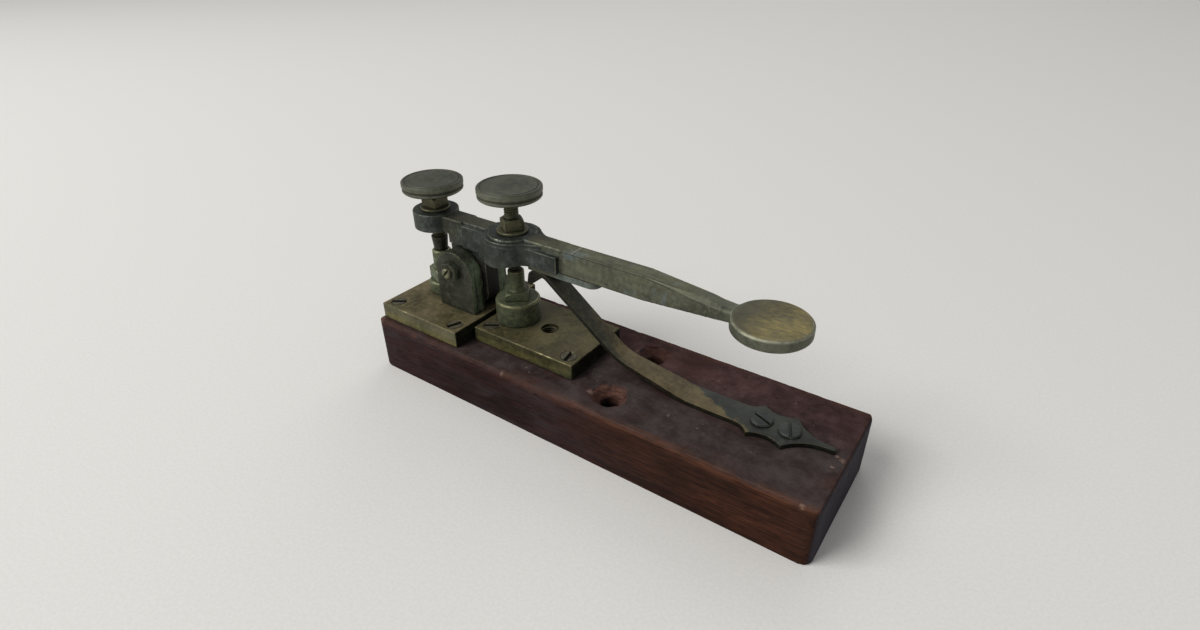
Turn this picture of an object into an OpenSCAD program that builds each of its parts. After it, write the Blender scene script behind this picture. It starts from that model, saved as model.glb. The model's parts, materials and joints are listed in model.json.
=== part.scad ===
// Telegraph key: a brass lever that rocks on two trunnion screws, with an adjusting screw over a contact
// anvil at each side of the pivot, and a leaf spring that lifts its front end. All of it stands on a
// wooden base. Millimetres. X runs from the adjusting screws at the rear to the finger disc at the front,
// Y runs across and Z runs up. The origin is the middle of the base's underside.

/* [Base] */
// Length of the wooden base
base_l = 200; // [190:1:220]
// Width of the wooden base
base_w = 57; // [54:0.5:70]
// Height of the wooden base
base_h = 24; // [20:0.5:36]
// Radius of the base's upright corners
base_corner_r = 3.5; // [2:0.5:8]
// Bevel along the base's top edges
base_bevel = 1; // [0.5:0.1:2]

/* [Mounting holes] */
// Distance of the two holes in front of the front plate
mount_setback = 17; // [12:0.5:24]
// Distance between the two holes, across the base
mount_spacing = 32; // [29:0.5:36]
// Diameter of each hole
mount_hole_d = 7; // [4:0.5:8]
// Diameter of each countersink at the base's top
mount_sink_d = 13; // [10:0.5:14]

/* [Plates] */
// Bare wood behind the rear plate
plate_margin = 2.1; // [1:0.1:4]
// Bare wood between the two plates
plate_gap = 2.2; // [1:0.1:4]
// Length of the rear plate
rear_plate_l = 44.4; // [43:0.2:50]
// Width of the rear plate
rear_plate_w = 51.2; // [44:0.2:53]
// Thickness of the rear plate
rear_plate_t = 7.2; // [6:0.1:9]
// Length of the front plate
front_plate_l = 50.3; // [48:0.1:56]
// Width of the front plate
front_plate_w = 33.6; // [31:0.2:40]
// Thickness of the front plate
front_plate_t = 6.6; // [5:0.1:8]
// Distance of each plate screw from the plate's edges
plate_screw_inset = 5; // [4.5:0.1:6]
// Diameter of the spare tapped hole in the front plate
tapped_hole_d = 7.4; // [5:0.1:8]
// Distance of the tapped hole behind the front plate's front edge
tapped_hole_setback = 23.6; // [14:0.1:26]

/* [Wood screws] */
// Head diameter of the countersunk plate screws
plate_screw_head_d = 7; // [6:0.1:8]
// Shank diameter of the plate screws
plate_screw_d = 3.4; // [2.6:0.1:4]
// Length of the plate screws
plate_screw_l = 19; // [15:0.5:22]
// Head diameter of the two spring screws
spring_screw_head_d = 7.9; // [6.5:0.1:9]
// Height of the spring screws' heads
spring_screw_head_h = 1.1; // [0.8:0.1:1.6]
// Shank diameter of the spring screws
spring_screw_d = 3.8; // [3:0.1:4.4]
// Length of the spring screws under the head
spring_screw_l = 15; // [10:0.5:18]

/* [Bearing] */
// Distance of the pivot behind the rear plate's front edge
pivot_setback = 13.3; // [11.4:0.1:14.4]
// Height of the pivot above the rear plate
pivot_h = 18.5; // [17.5:0.1:22]
// Length of each bearing block
block_l = 20.1; // [18:0.1:21]
// Thickness of each bearing block
block_t = 6.7; // [5:0.1:8]
// Height of a block's round top above the pivot
block_crown = 8; // [7:0.1:8.2]
// Shank diameter of the screws that hold the blocks from below
block_screw_d = 3.2; // [2.4:0.1:3.6]
// Diameter of the pivot screws
pivot_screw_d = 4.4; // [4.2:0.1:5]
// Diameter of the pivot screws' plain points
pivot_pin_d = 3.8; // [3:0.1:4]
// How far each point enters the lever's lug
pivot_pin_l = 2.6; // [2:0.1:3]
// Size of the pivot lock nuts across their flats
pivot_nut_af = 7.8; // [6.6:0.1:9]
// Thickness of the pivot lock nuts
pivot_nut_h = 3; // [2:0.1:4]
// How far a pivot screw stands out of its lock nut
pivot_screw_proud = 1.6; // [1:0.1:3]

/* [Lever] */
// Thickness of the lug between the bearing blocks
lug_t = 7.4; // [6.5:0.1:9]
// Width of the lever's bar
bar_w = 7.4; // [6.5:0.1:9]
// Height of the lever's top above the pivot
lever_rise = 20.3; // [20:0.1:24]
// Distance from the pivot to the rear adjusting screw
rear_arm = 17.7; // [17.4:0.1:22]
// Distance from the pivot to the front adjusting screw
front_arm = 25.6; // [24:0.1:28]
// Distance from the pivot to the middle of the finger disc
disc_arm = 134.2; // [120:0.2:145]
// Diameter of the rear eye
rear_eye_d = 19.4; // [16:0.2:20.6]
// Height of the rear eye
rear_eye_h = 7.6; // [6:0.1:10]
// Diameter of the front boss on the lever's top
front_boss_d = 23; // [20:0.2:24]
// Height of both bosses above the body between them
boss_rise = 0.6; // [0.3:0.1:1.2]
// Depth of the lever's body over the bearing
body_depth = 11.5; // [10.5:0.1:11.8]
// Width of the body behind the front boss
body_w = 9.2; // [8:0.1:10]
// Width of the step around the front boss
cheek_step_w = 0.4; // [0.3:0.1:1.5]
// Depth of the cheeks' rear end under the body's top
cheek_step_h = 0.3; // [0.2:0.1:1]
// Width of the cheeks behind the front boss
cheek_rear_w = 10.6; // [10.2:0.1:13]
// Width of the cheeks in front of the front boss
cheek_w = 11.8; // [11:0.2:16]
// Fall of the cheeks' top edge at their front end
cheek_fall = 2; // [1:0.1:3]
// Distance from the pivot to the cheeks' rear end
cheek_rear_arm = 1.8; // [0:0.1:4]
// Distance from the pivot to the cheeks' front end
cheek_arm = 51.3; // [46:0.1:58]
// Drop of the body's underside in front of the bearing
body_drop = 1.6; // [0.5:0.1:2.4]
// Depth of the bar behind its taper
bar_depth = 9.8; // [9:0.1:10.5]
// Depth of the bar at the disc
neck_depth = 4.7; // [3:0.1:5]
// Fall of the bar's top from the pivot end to the disc
neck_fall = 2.8; // [2:0.1:4]
// Width of the bevels along the bar's top, at the disc
neck_bevel = 2; // [1:0.1:2.4]
// Distance from the pivot to the bar's taper
taper_arm = 88; // [70:0.5:100]
// Length of the lug behind the pivot
lug_rear_l = 6.8; // [5:0.1:9]
// Length of the lug in front of the pivot
lug_front_l = 12.3; // [10:0.1:13]
// Depth of the lug below the pivot
lug_depth = 15; // [9:0.1:16]
// Diameter of the finger disc
disc_d = 26.9; // [22:0.1:32]
// Thickness of the finger disc
disc_t = 4.7; // [4:0.1:6]
// Fall of the disc's top below the bar's top at the disc
disc_fall = 0.6; // [0.4:0.1:1]

/* [Adjusting screws] */
// Thread diameter of the adjusting screws
screw_d = 5.8; // [5:0.1:6.2]
// Height of the contact tip under the rear screw
rear_tip_h = 6; // [4:0.1:7]
// Diameter of the rear tip
rear_tip_d = 7.2; // [6.4:0.1:7.6]
// Height of the contact tip under the front screw
front_tip_h = 3.4; // [2.5:0.1:4]
// How much narrower each tip is at its end
tip_taper = 1.2; // [0.6:0.1:2]
// Diameter of the knobs
knob_d = 25.6; // [22:0.2:28]
// Thickness of the knobs
knob_t = 4.7; // [4:0.1:6]
// Height of the rear knob's top above the lever
rear_knob_h = 12.9; // [12.2:0.1:16]
// Height of the front knob's top above the lever
front_knob_h = 19; // [13:0.1:22]
// Size of the square lock nuts across their flats
nut_af = 7.7; // [7.2:0.1:9]
// Height of the square lock nuts
nut_h = 4.6; // [3.5:0.1:5]
// Diameter of the lock washers
washer_d = 12.6; // [11.6:0.2:14]
// Thickness of the lock washers
washer_t = 1.2; // [0.6:0.1:1.4]

/* [Anvils] */
// Gap at the front contacts while the key is up
contact_gap = 1.1; // [1.05:0.05:2]
// Height of the front anvil above its plate
front_anvil_h = 23.2; // [20:0.1:23.4]
// Diameter of the drum under the front anvil
drum_d = 18.6; // [14:0.2:20]
// Height of that drum
drum_h = 9.9; // [8:0.1:11]
// Size of the front anvil's square nut across its flats
front_anvil_nut_af = 9.6; // [9:0.1:11]
// Height of the front anvil's nut
front_anvil_nut_h = 3.5; // [3:0.1:4.5]
// Height of the rear anvil above its plate
rear_anvil_h = 20.3; // [18:0.1:22]
// Diameter of the collar under the rear anvil
collar_d = 14; // [11:0.2:14.4]
// Height of that collar
collar_h = 5.6; // [5:0.1:7]
// Size of the rear anvil's square nut across its flats
rear_anvil_nut_af = 9.9; // [8.8:0.1:11]
// Height of the rear anvil's nut
rear_anvil_nut_h = 5.8; // [4:0.1:8]
// Thread diameter of both anvil studs
stud_d = 6.5; // [5.5:0.1:7]
// Diameter of the rear stud's head
rear_head_d = 8.2; // [7.2:0.1:8.6]
// Diameter of the front stud's head
front_head_d = 6.8; // [6:0.1:8]
// Diameter of the contact buttons on the anvils
button_d = 3.4; // [2.6:0.1:4]
// Height of the contact buttons
button_h = 0.4; // [0.3:0.1:0.8]

/* [Leaf spring] */
// Thickness of the leaf spring
spring_t = 1.8; // [1.2:0.1:2.2]
// Width of the spring's strip at its foot
spring_w = 10.7; // [9.6:0.1:12]
// Width of the spring's strip at its upper end
spring_end_w = 8; // [7:0.1:10]
// Slope of the strip's upper stretch, in degrees
spring_slope = 37.4; // [34:0.1:40]
// Slope of the strip's lower stretch, in degrees
spring_low_slope = 10.8; // [8:0.1:14]
// Distance from the pivot to the front of the spring's bearing pad
spring_arm = 43.9; // [42:0.1:50]
// Length of the pad that bears on the wear plate
spring_pad_l = 7; // [5:0.1:8]
// Length of the lip turned down behind the pad
spring_lip_l = 5.5; // [3:0.1:7]
// Bare wood in front of the spring's pointed foot
spring_margin = 5.2; // [3:0.1:10]
// Distance from the foot's point to the front spring screw
foot_front_screw = 15.8; // [14:0.1:18]
// Distance between the two spring screws
foot_screw_gap = 10.2; // [9.4:0.1:12]
// Length of the foot that lies flat on the base
foot_l = 53.6; // [46:0.1:60]
// Width across the foot's rear pair of cusps
foot_rear_cusp_w = 17.6; // [15:0.2:20]
// Width across the foot's front pair of cusps
foot_front_cusp_w = 17; // [15:0.2:20]
// Width of the foot's point
foot_point_w = 1.8; // [1:0.1:3]
// Thickness of the wear plate that the spring bears on
wear_t = 2.6; // [2:0.1:3]
// Length of the wear plate in front of the spring's pad
wear_front_l = 24.1; // [18:0.1:32]
// Distance of the wear plate's screw from the plate's front end
wear_screw_inset = 11; // [6:0.1:14]
// Head diameter of the wear plate's screw
wear_screw_head_d = 4.8; // [4:0.1:5.4]
// Shank diameter of the wear plate's screw
wear_screw_d = 2.4; // [2:0.1:2.8]
// Length of the wear plate's screw
wear_screw_l = 6.5; // [5:0.1:8]

/* [Hidden] */
$fn = 64;

// Clearances: a screw in its hole, a running pin, a loose washer, a side face that turns, a closed contact
thread_clearance = 0.05;
pin_clearance = 0.05;
washer_clearance = 0.3;
side_clearance = 0.2;
rest_clearance = 0.05;
// Room between the bearing blocks' front faces and the body in front of them
block_run_gap = 0.8;
// How far a cut runs past the face that it opens
over = 1;
// How far the wear plate runs behind the spring's pad
wear_spare_l = 1.2;

// Colours, as the worn metal and wood look
wood_colour = "#4a2a24";
plate_colour = "#8a8355";
patina_colour = "#6f7a78";
lever_colour = "#8f8d66";
knob_colour = "#7c7d62";
steel_colour = "#5d625c";
spring_colour = "#6d6a50";

// Places along the base
rear_plate_rear = -base_l / 2 + plate_margin;
rear_plate_front = rear_plate_rear + rear_plate_l;
front_plate_rear = rear_plate_front + plate_gap;
front_plate_front = front_plate_rear + front_plate_l;
mount_x = front_plate_front + mount_setback;
tapped_hole_x = front_plate_front - tapped_hole_setback;
pivot_x = rear_plate_front - pivot_setback;
rear_x = pivot_x - rear_arm;
front_x = pivot_x + front_arm;
cheek_x = pivot_x + cheek_arm;
disc_x = pivot_x + disc_arm;
cheek_rear_x = pivot_x + cheek_rear_arm;
body_rear_x = pivot_x - lug_rear_l;
taper_x = pivot_x + taper_arm;
pad_front_x = pivot_x + spring_arm;
pad_rear_x = pad_front_x - spring_pad_l;
wear_rear_x = pad_rear_x - wear_spare_l;
wear_front_x = pad_front_x + wear_front_l;
wear_screw_x = wear_front_x - wear_screw_inset;
foot_x = base_l / 2 - spring_margin;
front_spring_screw_x = foot_x - foot_front_screw;
rear_spring_screw_x = front_spring_screw_x - foot_screw_gap;

// Heights
rear_plate_top = base_h + rear_plate_t;
front_plate_top = base_h + front_plate_t;
pivot_z = rear_plate_top + pivot_h;
lever_top = pivot_z + lever_rise;
body_top = lever_top - boss_rise;
body_bottom = lever_top - body_depth;
eye_bottom = lever_top - rear_eye_h;
bar_bottom = lever_top - bar_depth;
neck_top = lever_top - neck_fall;
disc_top = neck_top - disc_fall;
wear_bottom = bar_bottom - wear_t;
rear_contact_z = rear_plate_top + rear_anvil_h;
front_contact_z = front_plate_top + front_anvil_h;
rear_tip_z = rear_contact_z + rest_clearance;
front_tip_z = front_contact_z + contact_gap;
nut_z = lever_top + washer_t;

// Bearing: the lug turns between the blocks' inner faces
block_inner_y = lug_t / 2 + side_clearance;
block_outer_y = block_inner_y + block_t;
pivot_screw_end_y = block_outer_y + pivot_nut_h + pivot_screw_proud;
block_arch_z = pivot_z + block_crown - block_l / 2;
block_screw_inset = 3.8;
block_screw_offset = block_l / 2 - block_screw_inset;
block_screw_depth = 8;
block_screw_head_d = 6;
block_screw_seat = 0.4;

// Lever details
cheek_r = front_boss_d / 2 + cheek_step_w;
body_drop_x = pivot_x + block_l / 2 + block_run_gap;
cheek_rise_l = 9;
boss_fillet_r = 20;
body_fillet_r = 16;
cheek_rear_fillet_r = 12;
cheek_fillet_r = 8;
fillet_dip = 0.02;
lug_corner_r = 4;
bar_edge_bevel = 0.4;
neck_bury = 3;
disc_edge = 0.7;
section_t = 0.01;

// Knob details
knob_cap_t = 1.2;
knob_edge = 0.6;
knob_groove_w = 0.8;
knob_groove_d = 0.8;
knob_ring_inset = 2.6;
knob_ring_r = knob_d / 2 - knob_ring_inset;
knob_ring_w = 0.5;
knob_ring_d = 0.3;
nut_bevel = 1;
nut_bevel_run = 1.5 * nut_bevel;

// Slots in screw heads
slot_w = 1.1;
slot_d = 1;
pivot_slot_w = 1;

// Turn of each nut and of each screw slot, in degrees
rear_nut_turn = 1;
front_nut_turn = -32;
front_anvil_nut_turn = 38;
rear_anvil_nut_turn = -22;
pivot_nut_turn = 20;
rear_slot_turns = [33, 68, 110, 150];
front_slot_turns = [34, 100, 60, 135];
spring_slot_turns = [-22, -66];
pivot_slot_turn = 50;
block_slot_turn = 45;
wear_slot_turn = 30;

function sign_of(i) = i < 2 ? -1 : 1;

// Four screw places on a plate from rear to front, near pair first
function plate_screw_places(rear, front, width) = [
  for (i = [0:3])
    [i % 2 == 0 ? rear + plate_screw_inset : front - plate_screw_inset,
     sign_of(i) * (width / 2 - plate_screw_inset)]
];
rear_screw_places = plate_screw_places(rear_plate_rear, rear_plate_front, rear_plate_w);
front_screw_places = plate_screw_places(front_plate_rear, front_plate_front, front_plate_w);
spring_screw_places = [[rear_spring_screw_x, 0], [front_spring_screw_x, 0]];
mount_places = [for (side = [-1, 1]) [mount_x, side * mount_spacing / 2]];
block_screw_places = [
  for (side = [-1, 1], end = [-1, 1])
    [pivot_x + end * block_screw_offset, side * (block_inner_y + block_t / 2)]
];

// Countersunk heads slope at 45 degrees
function sink_h(head_d, shank_d) = (head_d - shank_d) / 2;

// A hole for a countersunk screw whose head lies at z = 0 and whose shank points down
module sunk_hole(head_d, shank_d, depth, clearance) {
  head_r = head_d / 2 + clearance;
  shank_r = shank_d / 2 + clearance;
  rotate_extrude()
    polygon([
      [0, over], [head_r, over], [head_r, 0],
      [shank_r, shank_r - head_r], [shank_r, -depth], [0, -depth]
    ]);
}

// A slot across a screw head whose top lies at z = 0
module slot_cut(head_d, width, depth, turn) {
  rotate([0, 0, turn])
    translate([-head_d, -width / 2, -depth])
      cube([2 * head_d, width, depth + over]);
}

// A countersunk slotted screw with its head's top at z = 0
module sunk_screw(head_d, shank_d, length, point_h, turn) {
  difference() {
    rotate_extrude()
      polygon([
        [0, 0], [head_d / 2, 0], [shank_d / 2, -sink_h(head_d, shank_d)],
        [shank_d / 2, point_h - length], [shank_d / 8, -length], [0, -length]
      ]);
    slot_cut(head_d, slot_w, slot_d, turn);
  }
}

wood_screw_point_h = 4;
wood_hole_spare = 0.5;

module plate_screws(places, top, turns) {
  for (i = [0:len(places) - 1])
    translate([places[i].x, places[i].y, top])
      sunk_screw(plate_screw_head_d, plate_screw_d, plate_screw_l, wood_screw_point_h, turns[i]);
}

module plate_screw_holes(places, top) {
  for (place = places)
    translate([place.x, place.y, top])
      sunk_hole(plate_screw_head_d, plate_screw_d, plate_screw_l + wood_hole_spare, thread_clearance);
}

// Base
module rounded_rectangle(length, width, radius) {
  square([length - 2 * radius, width], center = true);
  square([length, width - 2 * radius], center = true);
  for (x = [-1, 1], y = [-1, 1])
    translate([x * (length / 2 - radius), y * (width / 2 - radius)])
      circle(radius);
}

// Upright outline of a block with its two top corners bevelled
module bevelled_outline(width, height, bevel) {
  polygon([
    [-width / 2, 0], [width / 2, 0], [width / 2, height - bevel], [width / 2 - bevel, height],
    [bevel - width / 2, height], [-width / 2, height - bevel]
  ]);
}

module base() {
  color(wood_colour)
    difference() {
      intersection() {
        linear_extrude(base_h)
          rounded_rectangle(base_l, base_w, base_corner_r);
        translate([0, base_w / 2, 0])
          rotate([90, 0, 0])
            linear_extrude(base_w)
              bevelled_outline(base_l, base_h, base_bevel);
        translate([-base_l / 2, 0, 0])
          rotate([90, 0, 90])
            linear_extrude(base_l)
              bevelled_outline(base_w, base_h, base_bevel);
      }
      for (place = mount_places)
        translate([place.x, place.y, base_h])
          sunk_hole(mount_sink_d, mount_hole_d, base_h + over, 0);
      plate_screw_holes(rear_screw_places, rear_plate_top);
      plate_screw_holes(front_screw_places, front_plate_top);
      for (place = spring_screw_places)
        translate([place.x, place.y, base_h + spring_t - spring_screw_l - wood_hole_spare])
          cylinder(h = spring_screw_l + wood_hole_spare, d = spring_screw_d + 2 * thread_clearance);
    }
}

// Plates
module plate(rear, front, width, thickness) {
  translate([rear, -width / 2, base_h])
    cube([front - rear, width, thickness]);
}

module stud_hole(x, top) {
  translate([x, 0, base_h - over])
    cylinder(h = top - base_h + 2 * over, d = stud_d + 2 * thread_clearance);
}

module rear_plate() {
  color(plate_colour)
    difference() {
      plate(rear_plate_rear, rear_plate_front, rear_plate_w, rear_plate_t);
      plate_screw_holes(rear_screw_places, rear_plate_top);
      stud_hole(rear_x, rear_plate_top);
      block_screw_holes();
    }
}

module front_plate() {
  color(plate_colour)
    difference() {
      plate(front_plate_rear, front_plate_front, front_plate_w, front_plate_t);
      plate_screw_holes(front_screw_places, front_plate_top);
      stud_hole(front_x, front_plate_top);
      translate([tapped_hole_x, 0, base_h - over])
        cylinder(h = front_plate_t + 2 * over, d = tapped_hole_d);
    }
}

module rear_plate_screws() {
  color(steel_colour)
    plate_screws(rear_screw_places, rear_plate_top, rear_slot_turns);
}

module front_plate_screws() {
  color(steel_colour)
    plate_screws(front_screw_places, front_plate_top, front_slot_turns);
}

// Bearing blocks, held by screws from under the rear plate
module block_outline() {
  translate([-block_l / 2, rear_plate_top])
    square([block_l, block_arch_z - rear_plate_top]);
  translate([0, block_arch_z])
    circle(d = block_l);
}

module block_screw_holes() {
  for (place = block_screw_places)
    translate([place.x, place.y, base_h + block_screw_seat])
      mirror([0, 0, 1])
        sunk_hole(block_screw_head_d, block_screw_d, rear_plate_t + block_screw_depth, thread_clearance);
}

module bearing_block(side) {
  color(patina_colour)
    difference() {
      translate([pivot_x, side * (block_inner_y + block_t / 2) + block_t / 2, 0])
        rotate([90, 0, 0])
          linear_extrude(block_t)
            block_outline();
      translate([pivot_x, 0, pivot_z])
        rotate([90, 0, 0])
          cylinder(h = 2 * (block_outer_y + over), d = pivot_screw_d + 2 * thread_clearance, center = true);
      block_screw_holes();
    }
}

module near_bearing_block() { bearing_block(-1); }

module far_bearing_block() { bearing_block(1); }

module bearing_block_screws() {
  screw_l = rear_plate_t + block_screw_depth - block_screw_seat - wood_hole_spare;
  color(steel_colour)
    for (place = block_screw_places)
      translate([place.x, place.y, base_h + block_screw_seat])
        mirror([0, 0, 1])
          sunk_screw(block_screw_head_d, block_screw_d, screw_l, block_screw_d / 2, block_slot_turn);
}

// Trunnion screws and their lock nuts, drawn with the axis upwards and the lug at z = 0
module pivot_axis(side) {
  translate([pivot_x, 0, pivot_z])
    rotate([-90 * side, 0, 0])
      children();
}

module pivot_screw(side) {
  pin_r = pivot_pin_d / 2;
  screw_r = pivot_screw_d / 2;
  color(steel_colour)
    pivot_axis(side)
      difference() {
        rotate_extrude()
          polygon([
            [0, lug_t / 2 - pivot_pin_l], [pin_r, lug_t / 2 - pivot_pin_l], [pin_r, block_inner_y],
            [screw_r, block_inner_y], [screw_r, pivot_screw_end_y - slot_d / 2],
            [screw_r - slot_d / 2, pivot_screw_end_y], [0, pivot_screw_end_y]
          ]);
        translate([0, 0, pivot_screw_end_y])
          slot_cut(pivot_screw_d, pivot_slot_w, slot_d, pivot_slot_turn);
      }
}

module near_pivot_screw() { pivot_screw(-1); }

module far_pivot_screw() { pivot_screw(1); }

module pivot_nut(side) {
  color(steel_colour)
    pivot_axis(side)
      translate([0, 0, block_outer_y])
        difference() {
          rotate([0, 0, pivot_nut_turn])
            cylinder(h = pivot_nut_h, d = pivot_nut_af / cos(30), $fn = 6);
          translate([0, 0, -over])
            cylinder(h = pivot_nut_h + 2 * over, d = pivot_screw_d + 2 * thread_clearance);
        }
}

module near_pivot_nut() { pivot_nut(-1); }

module far_pivot_nut() { pivot_nut(1); }

// Plan outline of an arm that leaves a round boss at x = 0, with hollow fillets where they meet. Each fillet
// dips a hair into the arm and the boss, so that the curves cross and don't just touch.
module boss_arm(radius, length, width, fillet_r, side) {
  rise = width / 2 + fillet_r - fillet_dip;
  reach = sqrt(pow(radius + fillet_r - fillet_dip, 2) - pow(rise, 2));
  translate([side * length / 2, 0])
    square([length, width], center = true);
  for (across = [-1, 1])
    difference() {
      polygon([[0, 0], [side * reach, 0], [side * reach, across * rise]]);
      translate([side * reach, across * rise])
        circle(fillet_r);
    }
}

// Lever: the body behind the front boss, deep over the bearing, with a shallow neck to the rear boss
module lever_body() {
  translate([front_x, 0, bar_bottom])
    linear_extrude(body_top - bar_bottom)
      boss_arm(front_boss_d / 2, front_x - body_rear_x, body_w, body_fillet_r, -1);
  translate([body_rear_x, -body_w / 2, body_bottom])
    cube([lug_rear_l + block_l / 2, body_w, bar_bottom - body_bottom + over]);
  translate([rear_x, -body_w / 2, eye_bottom])
    cube([pivot_x - rear_x, body_w, body_top - eye_bottom]);
}

// Both bosses stand a little above the body
module lever_bosses() {
  translate([rear_x, 0, eye_bottom])
    cylinder(h = rear_eye_h, d = rear_eye_d);
  translate([front_x, 0, bar_bottom])
    linear_extrude(bar_depth) {
      circle(d = front_boss_d);
      boss_arm(front_boss_d / 2, cheek_x - front_x, bar_w, boss_fillet_r, 1);
    }
}

// The cheeks thicken the sides round the front boss, and their top and bottom edges draw in to the front
module lever_cheeks() {
  intersection() {
    translate([front_x, 0, body_bottom - body_drop])
      linear_extrude(body_depth + body_drop) {
        circle(cheek_r);
        boss_arm(cheek_r, front_x - cheek_rear_x, cheek_rear_w, cheek_rear_fillet_r, -1);
        boss_arm(cheek_r, cheek_x - front_x, cheek_w, cheek_fillet_r, 1);
      }
    translate([0, base_w / 2, 0])
      rotate([90, 0, 0])
        linear_extrude(base_w)
          polygon([
            [cheek_rear_x, body_top - cheek_step_h], [cheek_rear_x, body_bottom], [body_drop_x, body_bottom],
            [body_drop_x, body_bottom - body_drop], [wear_rear_x - over - cheek_rise_l, body_bottom],
            [wear_rear_x - over, bar_bottom], [cheek_x, bar_bottom], [cheek_x, lever_top - cheek_fall]
          ]);
  }
}

// The lug hangs from the body between the bearing blocks
module lever_lug() {
  lug_l = lug_rear_l + lug_front_l;
  translate([body_rear_x, lug_t / 2, pivot_z - lug_depth])
    rotate([90, 0, 0])
      linear_extrude(lug_t) {
        translate([0, lug_corner_r])
          square([lug_l, lug_depth + bar_bottom - pivot_z + over - lug_corner_r]);
        translate([lug_corner_r, 0])
          square([lug_l - 2 * lug_corner_r, 2 * lug_corner_r]);
        for (x = [lug_corner_r, lug_l - lug_corner_r])
          translate([x, lug_corner_r])
            circle(lug_corner_r);
      }
}

// One thin slice of the bar, with its top corners bevelled
module bar_section(x, top, bottom, bevel) {
  translate([x, 0, 0])
    rotate([90, 0, 90])
      linear_extrude(section_t)
        translate([0, bottom])
          bevelled_outline(bar_w, top - bottom, bevel);
}

module lever_bar() {
  neck_x = disc_x - disc_d / 2 + neck_bury;
  hull() {
    bar_section(front_x, lever_top, bar_bottom, bar_edge_bevel);
    bar_section(taper_x, lever_top, bar_bottom, bar_edge_bevel);
  }
  hull() {
    bar_section(taper_x, lever_top, bar_bottom, bar_edge_bevel);
    bar_section(neck_x, neck_top, neck_top - neck_depth, neck_bevel);
  }
}

module finger_disc() {
  r = disc_d / 2;
  translate([disc_x, 0, disc_top - disc_t])
    rotate_extrude()
      polygon([
        [0, 0], [r - disc_edge, 0], [r, disc_edge],
        [r, disc_t - disc_edge], [r - disc_edge, disc_t], [0, disc_t]
      ]);
}

module lever() {
  color(lever_colour)
    difference() {
      union() {
        lever_body();
        lever_bosses();
        lever_cheeks();
        lever_lug();
        lever_bar();
        finger_disc();
      }
      for (x = [rear_x, front_x])
        translate([x, 0, body_bottom - over])
          cylinder(h = body_depth + 2 * over, d = screw_d + 2 * thread_clearance);
      translate([pivot_x, 0, pivot_z])
        rotate([90, 0, 0])
          cylinder(h = lug_t + 2 * over, d = pivot_pin_d + 2 * pin_clearance, center = true);
      wear_screw_hole();
    }
}

// Wear plate under the lever, with a round front end
module wear_screw_hole() {
  translate([wear_screw_x, 0, wear_bottom])
    mirror([0, 0, 1])
      sunk_hole(wear_screw_head_d, wear_screw_d, wear_screw_l + wood_hole_spare, thread_clearance);
}

module wear_plate() {
  round_x = wear_front_x - bar_w / 2;
  color(patina_colour)
    difference() {
      translate([0, 0, wear_bottom])
        linear_extrude(wear_t) {
          translate([wear_rear_x, -bar_w / 2])
            square([round_x - wear_rear_x, bar_w]);
          translate([round_x, 0])
            circle(d = bar_w);
        }
      wear_screw_hole();
    }
}

module wear_plate_screw() {
  color(steel_colour)
    translate([wear_screw_x, 0, wear_bottom])
      mirror([0, 0, 1])
        sunk_screw(wear_screw_head_d, wear_screw_d, wear_screw_l, wear_screw_d / 2, wear_slot_turn);
}

// Adjusting screws: contact tip, threaded stem, knob, square lock nut and washer
module contact_tip(x, z, d, height) {
  color(steel_colour)
    translate([x, 0, z])
      cylinder(h = height, d1 = d - tip_taper, d2 = d);
}

module adjusting_screw(x, bottom, knob_h) {
  color(knob_colour)
    translate([x, 0, bottom])
      cylinder(h = lever_top + knob_h - knob_cap_t - bottom, d = screw_d);
}

module knob(x, knob_h) {
  r = knob_d / 2;
  groove_z = (knob_t - knob_groove_w) / 2;
  bore_r = screw_d / 2 + thread_clearance;
  bore_z = knob_t - knob_cap_t;
  color(knob_colour)
    translate([x, 0, lever_top + knob_h - knob_t])
      rotate_extrude()
        polygon([
          [0, bore_z], [bore_r, bore_z], [bore_r, 0], [r - knob_edge, 0], [r, knob_edge], [r, groove_z],
          [r - knob_groove_d, groove_z], [r - knob_groove_d, groove_z + knob_groove_w],
          [r, groove_z + knob_groove_w], [r, knob_t - knob_edge], [r - knob_edge, knob_t],
          [knob_ring_r + knob_ring_w, knob_t], [knob_ring_r, knob_t - knob_ring_d],
          [knob_ring_r - knob_ring_w, knob_t], [0, knob_t]
        ]);
}

module square_nut(x, z, flats, height, bore_d, turn) {
  corner_r = flats / sqrt(2);
  color(knob_colour)
    translate([x, 0, z])
      difference() {
        intersection() {
          rotate([0, 0, turn])
            linear_extrude(height)
              square(flats, center = true);
          rotate_extrude()
            polygon([
              [0, 0], [corner_r, 0], [corner_r, height - nut_bevel],
              [corner_r - nut_bevel_run, height], [0, height]
            ]);
        }
        translate([0, 0, -over])
          cylinder(h = height + 2 * over, d = bore_d);
      }
}

module lock_washer(x) {
  color(knob_colour)
    translate([x, 0, lever_top])
      difference() {
        cylinder(h = washer_t, d = washer_d);
        translate([0, 0, -over])
          cylinder(h = washer_t + 2 * over, d = screw_d + 2 * washer_clearance);
      }
}

module rear_contact_tip() { contact_tip(rear_x, rear_tip_z, rear_tip_d, rear_tip_h); }

module rear_adjusting_screw() { adjusting_screw(rear_x, rear_tip_z + rear_tip_h, rear_knob_h); }

module rear_knob() { knob(rear_x, rear_knob_h); }

module rear_lock_nut() {
  square_nut(rear_x, nut_z, nut_af, nut_h, screw_d + 2 * thread_clearance, rear_nut_turn);
}

module rear_lock_washer() { lock_washer(rear_x); }

module front_contact_tip() { contact_tip(front_x, front_tip_z, screw_d, front_tip_h); }

module front_adjusting_screw() { adjusting_screw(front_x, front_tip_z + front_tip_h, front_knob_h); }

module front_knob() { knob(front_x, front_knob_h); }

module front_lock_nut() {
  square_nut(front_x, nut_z, nut_af, nut_h, screw_d + 2 * thread_clearance, front_nut_turn);
}

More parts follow.
